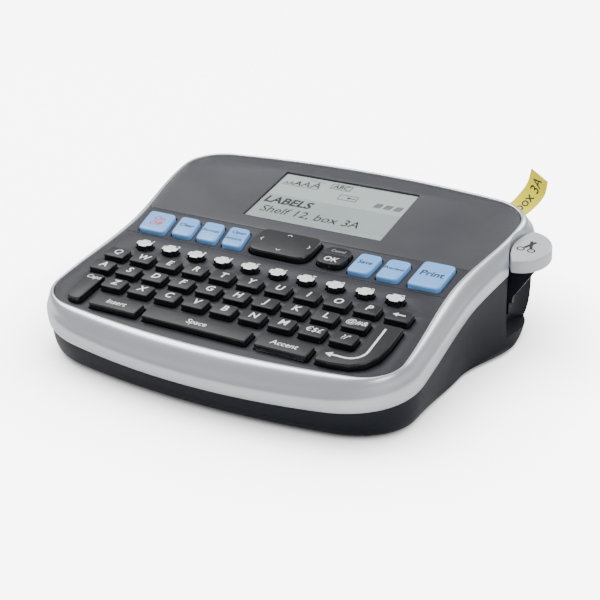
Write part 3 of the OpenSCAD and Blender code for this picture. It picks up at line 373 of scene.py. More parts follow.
class Paint(Enum):
    """Every finish of the label maker."""

    SILVER = Finish("satin_silver", (0.66, 0.69, 0.74), 0.04, 0.3, 0.05, 0.6, 0.2, 5200, 0.000012, 0.3, 0.02)
    KEYBOARD = Finish("keyboard_grey", (0.017, 0.0185, 0.026), 0.08, 0.5, 0.1, grain=3800, depth=0.00003,
                      shine=0.3)
    SCREEN = Finish("screen_grey", (0.043, 0.045, 0.054), 0.06, 0.44, 0.08, grain=3800, depth=0.000025,
                    shine=0.35)
    BASE = Finish("base_black", (0.007, 0.0085, 0.015), 0.12, 0.42, 0.1, grain=3000, depth=0.00003, shine=0.2)
    KEY_TOP = Finish("key_top", (0.007, 0.0075, 0.010), 0.08, 0.4, 0.08, grain=3400, depth=0.00002,
                     shine=0.28)
    KEY_SIDE = Finish("key_side", (0.006, 0.006, 0.008), 0.1, 0.2, 0.05, coat=0.3, depth=0.000005, dust=0.01)
    KEY_WHITE = Finish("key_white", (0.95, 0.96, 0.97), 0.03, 0.28, 0.05, coat=0.3, depth=0.00001, dust=0.0)
    KEY_BLUE = Finish("key_blue", (0.190, 0.480, 1.0), 0.04, 0.36, 0.06, coat=0.1, depth=0.000012, dust=0.01)
    LEGEND = Finish("legend_white", (0.97, 0.98, 1.0), 0.02, 0.5, 0.05, depth=0.000004, wear=0.1, dust=0.0)
    LEGEND_DARK = Finish("legend_dark", (0.006, 0.010, 0.022), 0.1, 0.5, 0.05, depth=0.000004, dust=0.0)
    LEGEND_RED = Finish("legend_red", (0.62, 0.03, 0.02), 0.05, 0.5, 0.05, depth=0.000004, dust=0.0)
    LEGEND_GREY = Finish("legend_grey", (0.30, 0.31, 0.34), 0.05, 0.5, 0.05, depth=0.000004, dust=0.0)
    CUTTER = Finish("cutter_grey", (0.60, 0.62, 0.65), 0.03, 0.34, 0.06, 0.1, 0.1, 4200, 0.000012)
    GLASS = Finish("window_clear", (0.05, 0.055, 0.05), 0.01, 0.06, 0.02, depth=0.0000005, wear=0.0, dust=0.0,
                   alpha=0.1)
    LCD = Finish("lcd_green", (0.66, 0.76, 0.74), 0.03, 0.3, 0.05, grain=900, depth=0.000002, wear=0.0,
                 dust=0.0)
    LCD_BAND = Finish("lcd_band", (0.50, 0.59, 0.58), 0.2, 0.35, 0.05, grain=6000, depth=0.000004, wear=0.0,
                      dust=0.0)
    LCD_INK = Finish("lcd_ink", (0.012, 0.018, 0.02), 0.1, 0.45, 0.05, depth=0.000002, wear=0.0, dust=0.0)
    LCD_PALE = Finish("lcd_pale_ink", (0.12, 0.16, 0.155), 0.1, 0.45, 0.05, depth=0.000002, wear=0.0,
                      dust=0.0)
    TAPE = Finish("tape_yellow", (1.0, 0.86, 0.0), 0.02, 0.5, 0.06, depth=0.000006, wear=0.0, dust=0.0,
                  shine=0.2)
    RUBBER = Finish("rubber_black", (0.02, 0.02, 0.022), 0.15, 0.75, 0.1, grain=1800, depth=0.00005,
                    dust=0.08)
    STEEL = Finish("steel", (0.52, 0.53, 0.55), 0.06, 0.3, 0.15, 1.0, grain=2600, depth=0.00001, dust=0.0)
    NYLON = Finish("nylon_white", (0.72, 0.70, 0.62), 0.05, 0.45, 0.08, dust=0.0)
    BRASS = Finish("brass", (0.72, 0.50, 0.18), 0.06, 0.28, 0.1, 1.0, dust=0.0)
    BOARD = Finish("board_green", (0.02, 0.14, 0.07), 0.15, 0.4, 0.1, coat=0.3, dust=0.0)
    BROWN = Finish("head_brown", (0.16, 0.09, 0.05), 0.1, 0.4, 0.1, dust=0.0)
    RIBBON = Finish("ribbon_black", (0.012, 0.012, 0.014), 0.1, 0.2, 0.1, coat=0.4, dust=0.0)
    CASSETTE = Finish("cassette_grey", (0.10, 0.105, 0.12), 0.08, 0.45, 0.1, dust=0.0)
    CELLS = Finish("cell_blue", (0.03, 0.10, 0.32), 0.06, 0.3, 0.08, coat=0.3, dust=0.0)
    JACK = Finish("jack_black", (0.012, 0.012, 0.013), 0.1, 0.3, 0.1, dust=0.02)


class PaintShop:
    """Hands out each finish's material, built when first asked for."""

    def __init__(self) -> None:
        """Starts with the shared groups and no materials."""
        self.groups = SurfaceGroups()
        self.made: dict[Paint, bpy.types.Material] = {}

    def get(self, paint: Paint) -> bpy.types.Material:
        """The material of a finish.

        Args:
            paint: The finish.

        Returns:
            Its material, the same one each time.
        """
        if paint not in self.made:
            self.made[paint] = paint.value.material(self.groups)
        return self.made[paint]


# --- workshop --------------------------------------------------------------
BODY_OF = {name: node["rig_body"] for name, node in frame["nodes"].items()}


@dataclass
class Workshop:
    """Turns bmeshes into finished pieces that ride on their bodies."""

    paints: PaintShop = field(default_factory=PaintShop)
    pieces: list[bpy.types.Object] = field(default_factory=list)

    def piece(self, name: str, bm: bmesh.types.BMesh, node: str, paints: Sequence[Paint],
              stands_for: Sequence[str] = (), smooth: float = 35.0) -> bpy.types.Object:
        """Makes a piece from a bmesh, and frees the bmesh.

        Args:
            name: Name of the piece.
            bm: The finished shape, in the row frame.
            node: The CAD node whose body the piece rides on.
            paints: A finish for each material index of the shape.
            stands_for: CAD nodes that the piece replaces.
            smooth: Angle in degrees above which an edge stays sharp.

        Returns:
            The piece.
        """
        mesh = bpy.data.meshes.new(name)
        bm.to_mesh(mesh)
        bm.free()
        for paint in paints:
            mesh.materials.append(self.paints.get(paint))
        mesh.shade_smooth()
        mesh.set_sharp_from_angle(angle=math.radians(smooth))
        made = bpy.data.objects.new(name, mesh)
        bpy.context.scene.collection.objects.link(made)
        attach(made, BODY_OF[node])
        if stands_for:
            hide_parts(*stands_for)
        self.pieces.append(made)
        LOG.info("%s: %d faces", name, len(mesh.polygons))
        return made


def copy_of(node: str) -> bmesh.types.BMesh:
    """A CAD node's shape, merged and cleared of edges inside flat faces.

    Args:
        node: The CAD node.

    Returns:
        The shape, in the row frame.
    """
    bm = bmesh.new()
    bm.from_mesh(frame["nodes"][node].data)
    bmesh.ops.remove_doubles(bm, verts=bm.verts, dist=MERGE)
    bmesh.ops.dissolve_limit(bm, angle_limit=math.radians(0.6), verts=bm.verts, edges=bm.edges,
                             delimit={"NORMAL"})
    return bm


def round_edges(bm: bmesh.types.BMesh, width: float, segments: int,
                keep: Callable[[Vector], bool] | None = None, sharp: float = 40.0) -> None:
    """Rounds the sharp edges of a shape.

    Args:
        bm: The shape.
        width: Width of the rounding, in millimetres.
        segments: Steps across the rounding.
        keep: Tells whether an edge end takes part; all do if it is None.
        sharp: Angle in degrees above which an edge counts as sharp.
    """
    edges = [e for e in bm.edges if e.is_manifold and e.calc_face_angle(0.0) > math.radians(sharp)
             and (keep is None or all(keep(v.co) for v in e.verts))]
    bmesh.ops.bevel(bm, geom=edges, offset=width * MM, offset_type="OFFSET", segments=segments, profile=0.5,
                    affect="EDGES", clamp_overlap=True, material=-1)


def cylinder(bm: bmesh.types.BMesh, at: Sequence[float], radius: float, height: float, sides: int = 48,
             turn: Matrix | None = None) -> None:
    """Adds an upright cylinder that stands on a point, in millimetres.

    Args:
        bm: The shape to add it to.
        at: Middle of its lower end.
        radius: Its radius.
        height: Its height.
        sides: Sides of its circle.
        turn: A turn about its lower end.
    """
    place = Matrix.Translation(Vector(at) * MM) @ (turn or Matrix.Identity(4))
    place = place @ Matrix.Translation((0, 0, height * MM / 2))
    bmesh.ops.create_cone(bm, cap_ends=True, segments=sides, radius1=radius * MM, radius2=radius * MM,
                          depth=height * MM, matrix=place)


def block(bm: bmesh.types.BMesh, low: Sequence[float], high: Sequence[float],
          turn: Matrix | None = None) -> None:
    """Adds a block between two corners, in millimetres, turned about its middle."""
    lo, hi = Vector(low) * MM, Vector(high) * MM
    place = Matrix.Translation((lo + hi) / 2) @ (turn or Matrix.Identity(4))
    bmesh.ops.create_cube(bm, size=1.0, matrix=place @ Matrix.Diagonal((*(hi - lo), 1.0)))


def loft(rings: Sequence[Sequence[Vector]], joined: bool) -> bmesh.types.BMesh:
    """A solid drawn through rings of equal length.

    Args:
        rings: Points of each ring, in order round the ring.
        joined: True to join the last ring to the first, False to cap both.

    Returns:
        The solid.
    """
    bm = bmesh.new()
    circle = bmesh.ops.create_circle(bm, segments=len(rings[0]), radius=1.0)["verts"]
    circle = sorted(circle, key=lambda v: math.atan2(v.co.y, v.co.x) % math.tau)
    for vert, point in zip(circle, rings[0]):
        vert.co = point
    first = edges = list(bm.edges)
    for before, ring in zip(rings, rings[1:]):
        station = {tuple(Vector(p)): i for i, p in enumerate(before)}
        grown = bmesh.ops.extrude_edge_only(bm, edges=edges)["geom"]
        fresh = {v for v in grown if isinstance(v, bmesh.types.BMVert)}
        for vert in fresh:
            vert.co = ring[station[tuple(vert.co)]]
        edges = [e for e in grown if isinstance(e, bmesh.types.BMEdge) and set(e.verts) <= fresh]
    if joined:
        bmesh.ops.bridge_loops(bm, edges=first + edges)
    else:
        bmesh.ops.edgeloop_fill(bm, edges=first)
        bmesh.ops.edgeloop_fill(bm, edges=edges)
    bmesh.ops.recalc_face_normals(bm, faces=bm.faces)
    return bm


def carve(solid: bmesh.types.BMesh, cutter: bmesh.types.BMesh) -> bmesh.types.BMesh:
    """Takes one shape out of another; both are freed.

    Args:
        solid: What is cut.
        cutter: What is taken out; its own solids may overlap.

    Returns:
        What is left.
    """
    pair = []
    for name, bm in (("solid", solid), ("cutter", cutter)):
        mesh = bpy.data.meshes.new(name)
        bm.to_mesh(mesh)
        bm.free()
        pair.append(bpy.data.objects.new(name, mesh))
        bpy.context.scene.collection.objects.link(pair[-1])
    cut = pair[0].modifiers.new("cut", "BOOLEAN")
    cut.object, cut.operation, cut.solver, cut.use_self = pair[1], "DIFFERENCE", "EXACT", True
    graph = bpy.context.evaluated_depsgraph_get()
    left = bmesh.new()
    left.from_mesh(pair[0].evaluated_get(graph).to_mesh())
    for made in pair:
        bpy.data.objects.remove(made)
    bmesh.ops.remove_doubles(left, verts=left.verts, dist=MERGE)
    return left


# --- case ------------------------------------------------------------------
@dataclass
class Hollow:
    """The hollow in the right side that the cutter runs in, in millimetres."""

    x: float = 89.0
    y: float = 37.0
    radius: float = 17.0
    floor: float = 5.0

    def tool(self, bm: bmesh.types.BMesh, grow: float, low: float) -> None:
        """Adds the hollow as a cylinder, grown by a wall, from a height up."""
        cylinder(bm, (self.x, self.y, low), self.radius + grow, 80 - low, 160)


@dataclass
class Rim:
    """The silver rim around the panels."""

    shop: Workshop
    hollow: Hollow
    depth: float = 9.6
    inside: float = 0.52
    crest: Sequence[tuple[float, float]] = (
        (0, 0.2), (0.02, 0.48), (0.07, 0.6), (0.15, 0.58), (0.25, 0.36), (0.36, -0.12), (0.47, -0.85),
        (0.57, -1.75), (0.66, -2.65), (0.75, -3.35), (0.84, -3.95), (0.915, -4.65), (0.965, -5.5),
        (0.99, -6.5), (1.0, -7.6), (1.0, -9.2), (0.985, -9.5), (0.95, -9.6))

    def build(self) -> None:
        """Draws the cross-section round the case, and cuts the hollow and the tape slot."""
        profile = [(-0.15, -3.4), (-0.15, -2.0), (0, -2.0), *self.crest, (self.inside, -self.depth),
                   (self.inside, -self.depth / 2), (self.inside * 0.7, -3.4)]
        inner, outer = PANEL_OUTLINE.around(), RIM_OUTLINE.around()
        rings = []
        for share, n in profile:
            mixed = (a.lerp(b, share) for a, b in zip(inner, outer))
            rings.append([PLANE.point(p.x, p.y, n) for p in mixed])
        tools = bmesh.new()
        self.hollow.tool(tools, 0, 0)
        block(tools, (53.25, 59, 34.99), (69.75, 71, 38.39), Matrix.Rotation(math.radians(-25), 4, "Z"))
        rim = carve(loft(rings, joined=True), tools)
        self.shop.piece("silver_rim", rim, "rim_frame", [Paint.SILVER], ["rim_frame"], 32)


@dataclass
class Base:
    """The base shell under the rim, in millimetres."""

    shop: Workshop
    hollow: Hollow
    low: float = 1.5
    floor: float = 2.0
    wall: float = 2.0
    step: float = 0.8
    rim_depth: float = 9.6
    levels: Sequence[float] = (1, 0.975, 0.94, 0.89, 0.82, 0.73, 0.62, 0.5, 0.36, 0.18, 0)
    feet: Sequence[tuple[float, float]] = ((-56, -47), (56, -47), (-62, 42), (34, 46))
    screws: Sequence[tuple[float, float]] = ((-62, -36), (62, -36), (-66, 30), (28, -44), (14, 44), (-30, 44))
    foot_r: float = 5.2
    foot_recess: float = 2.1
    screw_r: float = 2.9
    screw_recess: float = 4.5
    boss_r: float = 4.0
    boss_h: float = 8.4
    jack: tuple[float, float] = (-46, 13)
    jack_half: float = 5.2
    door_gap: float = 0.4
    slot: tuple[float, float] = (8.43, 27.73)
    post: tuple[float, float] = (69.6, 46)
    post_foot: float = 3.0
    post_h: float = 9.39
    post_r: float = 2.4
    pin_foot: float = 12.0
    pin_h: float = 3.39
    pin_r: float = 0.8

    def rings(self, d: float, low: float, top_n: float) -> list[list[Vector]]:
        """Rings of the shell from the floor up.

        Args:
            d: How far in from the outer wall.
            low: Height of the lowest ring.
            top_n: Place of the highest ring along the panel's normal.

        Returns:
            The rings, in metres.
        """
        top = [PLANE.point(p.x, p.y, top_n) / MM for p in RIM_OUTLINE.inset(self.step + d).around()]
        foot = FOOT_OUTLINE.inset(d).around()
        rings = []
        for level in self.levels:
            ring = []
            for t, f in zip(top, foot):
                down = level * (t.z - low) / (t.z - self.low)
                curve = 1 - math.sqrt(max(0.0, 1 - down * down))
                side = down if abs(f.x) > abs(t.x) else curve
                ring.append(Vector((t.x + (f.x - t.x) * side, t.y + (f.y - t.y) * curve,
                                    t.z + (low - t.z) * level)) * MM)
            rings.append(ring)
        return rings

    def build(self) -> None:
        """Makes the shell, its openings and the bosses inside it."""
        room_tool = bmesh.new()
        self.hollow.tool(room_tool, self.wall, 0)
        inside = self.rings(self.wall, self.low + self.floor, 1 - self.rim_depth)
        room = carve(loft(inside, False), room_tool)
        tools = bmesh.new()
        self.hollow.tool(tools, 0, self.hollow.floor)
        for node in ("cassette_door", "battery_door"):
            low, high = (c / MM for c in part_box(node))
            block(tools, (low.x - self.door_gap, low.y - 3 * self.door_gap, -1),
                  (high.x + self.door_gap, high.y + self.door_gap, self.screw_recess))
        (x, z), half = self.jack, self.jack_half
        block(tools, (x - half, 30, z - half), (x + half, 90, z + half))
        edge, (slot_low, slot_high) = self.hollow.x - self.hollow.radius, self.slot
        block(tools, (edge - 5, self.hollow.y - 1.5, slot_low), (edge + 3, self.hollow.y + 1.5, slot_high))
        for at in self.feet:
            cylinder(tools, (*at, -1), self.foot_r, self.foot_recess + 1, 64)
        for at in self.screws:
            cylinder(tools, (*at, -1), self.screw_r, self.screw_recess + 1, 40)
        shell = carve(loft(self.rings(0, self.low, -self.rim_depth), False), tools)
        shell = carve(shell, room)
        self.shop.piece("base_shell", shell, "bottom_shell", [Paint.BASE], ["bottom_shell"], 32)
        self._bosses()

    def _bosses(self) -> None:
        """The screw bosses, and the post and pin under the cutter's spring."""
        bm = bmesh.new()
        for at in self.screws:
            cylinder(bm, (*at, self.screw_recess), self.boss_r, self.boss_h, 48)
        cylinder(bm, (*self.post, self.post_foot), self.post_r, self.post_h, 32)
        cylinder(bm, (*self.post, self.pin_foot), self.pin_r, self.pin_h, 24)
        round_edges(bm, 0.25, 2)
        self.shop.piece("base_bosses", bm, "bottom_shell", [Paint.BASE])


@dataclass
class Panels:
    """The keyboard, function-key and screen panels, with their softened openings."""

    shop: Workshop

    def build(self) -> None:
        """Builds the three panels."""
        for node, paint in (("key_panel", Paint.KEYBOARD), ("function_panel", Paint.KEYBOARD),
                            ("screen_panel", Paint.SCREEN)):
            bm = copy_of(node)
            round_edges(bm, 0.14, 2, lambda p: PLANE.height(p) > -0.1)
            self.shop.piece(node + "_plate", bm, node, [paint], [node])


# --- printing --------------------------------------------------------------
@dataclass(frozen=True)
class Words:
    """A printed legend, in millimetres, centred on its place."""

    text: str
    x: float
    s: float
    n: float
    size: float
    bold: float = 0.02
    slant: float = 0.0
    turn: float = 0.0
    stretch: float = 1.0


class Printer:
    """Gathers legends and marks that share a piece."""

    THICK = 0.03
    SEAM = 0.0000005

    def __init__(self) -> None:
        """Starts an empty drawing."""
        self.bm = bmesh.new()

    def _take(self, mesh: bpy.types.Mesh, place: Matrix) -> None:
        """Adds a mesh, placed, to the drawing."""
        mesh.transform(place)
        self.bm.from_mesh(mesh)
        bpy.data.meshes.remove(mesh)

    def _flat(self, curve: bpy.types.Curve) -> bpy.types.Mesh:
        """A curve or text as a mesh."""
        shown = bpy.data.objects.new("drawing", curve)
        bpy.context.scene.collection.objects.link(shown)
        graph = bpy.context.evaluated_depsgraph_get()
        mesh = bpy.data.meshes.new_from_object(shown.evaluated_get(graph))
        bpy.data.objects.remove(shown)
        bpy.data.curves.remove(curve)
        return mesh

    def words(self, w: Words, place: Matrix | None = None) -> None:
        """Adds a legend.

        Args:
            w: The legend.
            place: Its placement; the panel plane if it is None.
        """
        curve = bpy.data.curves.new("words", "FONT")
        curve.body, curve.size = w.text, 1.0
        curve.align_x, curve.align_y = "CENTER", "CENTER"
        curve.offset, curve.shear = 0.0 if "Q" in w.text else w.bold, w.slant
        curve.extrude = self.THICK / w.size / 2
        curve.resolution_u = 3
        mesh = self._flat(curve)
        mesh.transform(Matrix.Diagonal((w.size * MM * w.stretch, w.size * MM, w.size * MM, 1)))
        self._take(mesh, place or PLANE.place(w.x, w.s, w.n, w.turn))

    def stroke(self, points: Sequence[tuple[float, float]], n: float, width: float) -> None:
        """Adds a painted line through points of the panel plane.

        Args:
            points: Places across and up the slope, in millimetres.
            n: Height of the line above the plane.
            width: Its width.
        """
        curve = bpy.data.curves.new("stroke", "CURVE")
        curve.dimensions, curve.bevel_depth, curve.bevel_resolution = "3D", width * MM / 2, 2
        curve.use_fill_caps = True
        spline = curve.splines.new("POLY")
        spline.points.add(len(points) - 1)
        for knot, (x, s) in zip(spline.points, points):
            knot.co = (x * MM, s * MM, 0, 1)
        mesh = self._flat(curve)
        mesh.transform(Matrix.Diagonal((1, 1, self.THICK / width, 1)))
        self._take(mesh, PLANE.place(0, 0, n))

    def head(self, x: float, s: float, n: float, size: float, turn: float) -> None:
        """Adds a filled arrow head that points along its turn."""
        bmesh.ops.create_cone(self.bm, cap_ends=True, segments=3, radius1=size * MM, radius2=size * MM,
                              depth=self.THICK * MM, matrix=PLANE.place(x, s, n, turn))

    def bar(self, low: tuple[float, float], high: tuple[float, float], n: float) -> None:
        """Adds a filled rectangle between two corners of the panel plane."""
        middle = [(a + b) / 2 for a, b in zip(low, high)]
        size = [(b - a) * MM for a, b in zip(low, high)]
        bmesh.ops.create_cube(self.bm, size=1.0, matrix=PLANE.place(middle[0], middle[1], n)
                              @ Matrix.Diagonal((size[0], size[1], self.THICK * MM, 1)))

    def frame(self, low: tuple[float, float], high: tuple[float, float], n: float, width: float) -> None:
        """Adds an outlined rectangle."""
        (x0, s0), (x1, s1) = low, high
        for a, b in (((x0, s0), (x1, s0 + width)), ((x0, s1 - width), (x1, s1)),
                     ((x0, s0), (x0 + width, s1)), ((x1 - width, s0), (x1, s1))):
            self.bar(a, b, n)

    def done(self) -> bmesh.types.BMesh:
        """The drawing, with its seams closed."""
        bmesh.ops.remove_doubles(self.bm, verts=self.bm.verts, dist=self.SEAM)
        return self.bm


# --- keys ------------------------------------------------------------------
@dataclass
class Keyboard:
    """Every key of the keyboard panel with its legend, in millimetres."""

    shop: Workshop
    pitch: float = 11.2
    key_h: float = 2.3
    bottom_s: float = -51.5
    number_s: float = -14.5
    letter: float = 3.9
    slant: float = 0.18

    @property
    def row_pitch(self) -> float:
        """Distance between rows."""
        return (self.number_s - self.bottom_s) / 4

    def cap(self, node: str, height: float, rounding: float, paints: Sequence[Paint],
            top_only: bool = False) -> None:
        """Builds a key, or a row of them, with rounded tops.

        Args:
            node: The CAD node.
            height: Height of its top above the panel.
            rounding: Width of the rounded edge.
            paints: Finish of the tops, then of the sides.
            top_only: True if the first finish stops at the flat of the top.
        """
        bm = copy_of(node)
        round_edges(bm, rounding, 4, lambda p: PLANE.height(p) > height - 0.05)
        limit = 0.97 if top_only else 0.6
        for face in bm.faces:
            up = face.normal.dot(PLANE.normal) > limit and PLANE.height(face.calc_center_median()) > 0.1
            face.material_index = 0 if up else 1
        self.shop.piece(node + "_cap", bm, node, paints, [node], 30)

    def _row(self, node: str, texts: Sequence[str], s: float) -> None:
        """A row of letter keys and its legends.

        Args:
            node: The row's CAD node.
            texts: Legends from left to right; a blank one is left out.
            s: Place of the row up the slope.
        """
        self.cap(node, self.key_h, 0.42, [Paint.KEY_TOP, Paint.KEY_SIDE])
        ink = Printer()
        for i, text in enumerate(texts):
            size, bold = (self.letter, 0.016) if len(text) == 1 else (3.2, 0.0)
            if text.strip():
                ink.words(Words(text, (i - 5) * self.pitch + 0.15, s + 0.35, self.key_h + INK, size,
                                bold, self.slant, stretch=1.08))
        if node == "top_letter_keys":
            x = 5 * self.pitch
            ink.stroke([(x + 2.1, s + 0.3), (x - 1, s + 0.3)], self.key_h + INK, 0.55)
            ink.head(x - 1.2, s + 0.3, self.key_h + INK, 1.15, 90)
        self.shop.piece(node + "_legends", ink.done(), node, [Paint.LEGEND])

    def _bar(self, node: str, text: str, x: float, s: float, size: float = 3.1) -> None:
        """A wide key of the keyboard and its word.

        Args:
            node: The key's CAD node.
            text: Its word.
            x: Middle of the word across.
            s: Middle of the word up the slope.
            size: Height of the lettering.
        """
        self.cap(node, self.key_h, 0.42, [Paint.KEY_TOP, Paint.KEY_SIDE])
        ink = Printer()
        ink.words(Words(text, x, s, self.key_h + INK, size, 0.006, self.slant, stretch=1.1))
        self.shop.piece(node + "_legend", ink.done(), node, [Paint.LEGEND])

    def build(self) -> None:
        """Builds the rows, the wide keys and the printed digits."""
        lower, home, top = (self.bottom_s + k * self.row_pitch for k in (1.11, 2.04, 3))
        self._row("top_letter_keys", "QWERTYUIOP ", top)
        self._row("home_letter_keys", [*"ASDFGHJKL", "@#&"], home)
        self._row("lower_letter_keys", [" ", *"ZXCVBNM", "€$£", "?/'"], lower)
        self._bar("caps_key", "Caps", -54.1, lower + 0.6, 2.7)
        self._bar("insert_key", "Insert", -3.28 * self.pitch, self.bottom_s)
        self._bar("space_key", "Space", -0.38 * self.pitch, self.bottom_s)
        self._bar("accent_key", "Accent", 2.56 * self.pitch, self.bottom_s)
        self._return_key(home)
        self._numbers()

    def _return_key(self, home: float) -> None:
        """The bent return key and its long bent arrow."""
        self.cap("return_key", self.key_h, 0.42, [Paint.KEY_TOP, Paint.KEY_SIDE])
        n, bend, right = self.key_h + INK, 5.6, 4.93 * self.pitch
        low = self.bottom_s + 0.9
        turn = [(right - bend + bend * math.sin(a), low + bend - bend * math.cos(a))
                for a in (math.radians(d) for d in range(90, -1, -10))]
        ink = Printer()
        ink.stroke([(right, home + 0.4), *turn, (right - bend - 5, low)], n, 0.75)
        ink.head(right - bend - 5.2, low, n, 1.5, 90)
        self.shop.piece("return_key_legend", ink.done(), "return_key", [Paint.LEGEND])

    def _numbers(self) -> None:
        """The small lobed number keys, and their digits on the panel behind them."""
        self.cap("number_keys", self.key_h - 0.3, 0.45, [Paint.KEY_WHITE, Paint.KEY_SIDE], top_only=True)
        ink = Printer()
        for i, digit in enumerate("1234567890"):
            x = (i - 4.5) * self.pitch
            ink.words(Words(digit, x + 0.5, self.number_s + 3.7, 0.02, 3.1, 0.008, self.slant))
        self.shop.piece("panel_digits", ink.done(), "key_panel", [Paint.LEGEND])


@dataclass
class FunctionKeys:
    """The blue keys, the arrow pad and the OK and cancel keys, in millimetres."""

    shop: Workshop
    keyboard: Keyboard
    blue_h: float = 1.6
    nav_h: float = 2.4
    s: float = 1.8

    def _blue(self, node: str, words: Sequence[tuple[str, float, float]], x: float, s: float,
              ink_paint: Paint = Paint.LEGEND_DARK, rule: bool = False) -> None:
        """A blue key with its words.

        Args:
            node: The key's CAD node.
            words: Each word, its offset up the slope and its size.
            x: Middle of the key across.
            s: Middle of the key up the slope.
            ink_paint: Finish of the words.
            rule: True for a thin line between two words.
        """
        self.keyboard.cap(node, self.blue_h, 0.75, [Paint.KEY_BLUE, Paint.KEY_BLUE])
        ink = Printer()
        n = self.blue_h + INK
        for text, up, size in words:
            ink.words(Words(text, x, s + up, n, size, 0.02, 0.1, stretch=1.06))
        if rule:
            ink.bar((x - 2.8, s - 0.06), (x + 2.8, s + 0.06), n)
        self.shop.piece(node + "_legend", ink.done(), node, [ink_paint])

    def build(self) -> None:
        """Builds every key of the function row."""
        pitch = self.keyboard.pitch
        self._blue("on_off_key", [("On", 1.9, 3.6), ("Off", -1.7, 3.6)], -4.95 * pitch, self.s - 0.5,
                   Paint.LEGEND_RED, True)
        self._blue("clear_key", [("Clear", 0.6, 2.7)], -3.83 * pitch, self.s)
        self._blue("format_key", [("Format", 0.4, 2.3)], -2.86 * pitch, self.s)
        self._blue("settings_key", [("Open", 2.6, 2.5), ("Settings", -1.6, 2.1)], -1.88 * pitch, self.s,
                   rule=True)
        self._blue("save_key", [("Save", 0.5, 2.9)], 2.79 * pitch, self.s)
        self._blue("preview_key", [("Preview", 0.3, 2.2)], 3.77 * pitch, self.s)
        self._blue("print_key", [("Print", 0.2, 4.2)], 4.98 * pitch, self.s + 1.4)
        self._pad()
        self._oval()

    def _pad(self) -> None:
        """The rocking arrow pad and the four marks on it."""
        self.keyboard.cap("nav_pad", self.nav_h, 0.7, [Paint.KEY_TOP, Paint.KEY_SIDE])
        ink = Printer()
        for x, s, turn in ((-10.2, 3.0, 180), (-1.4, 7.6, 90), (-1.2, -1.7, -90), (8.4, 3.1, 0)):
            a = math.radians(turn)
            ends = [(0.0, 0.9), (0.75, 0.0), (0.0, -0.9)]
            ink.stroke([(x + u * math.cos(a) - v * math.sin(a), s + u * math.sin(a) + v * math.cos(a))
                        for u, v in ends], self.nav_h + INK, 0.28)
        self.shop.piece("nav_pad_marks", ink.done(), "nav_pad", [Paint.LEGEND])

    def _oval(self) -> None:
        """The cancel and OK keys that share an oval."""
        x, h = 1.73 * self.keyboard.pitch, self.keyboard.key_h
        for node, text, s, height, size, paint in (
                ("cancel_key", "Cancel", 5.2, h - 0.5, 2.0, Paint.LEGEND_GREY),
                ("ok_key", "OK", -0.9, h - 0.1, 3.7, Paint.LEGEND)):
            self.keyboard.cap(node, height, 0.3, [Paint.KEY_TOP, Paint.KEY_SIDE])
            ink = Printer()
            ink.words(Words(text, x, s, height + INK, size, 0.01, 0.1))
            self.shop.piece(node + "_legend", ink.done(), node, [paint])


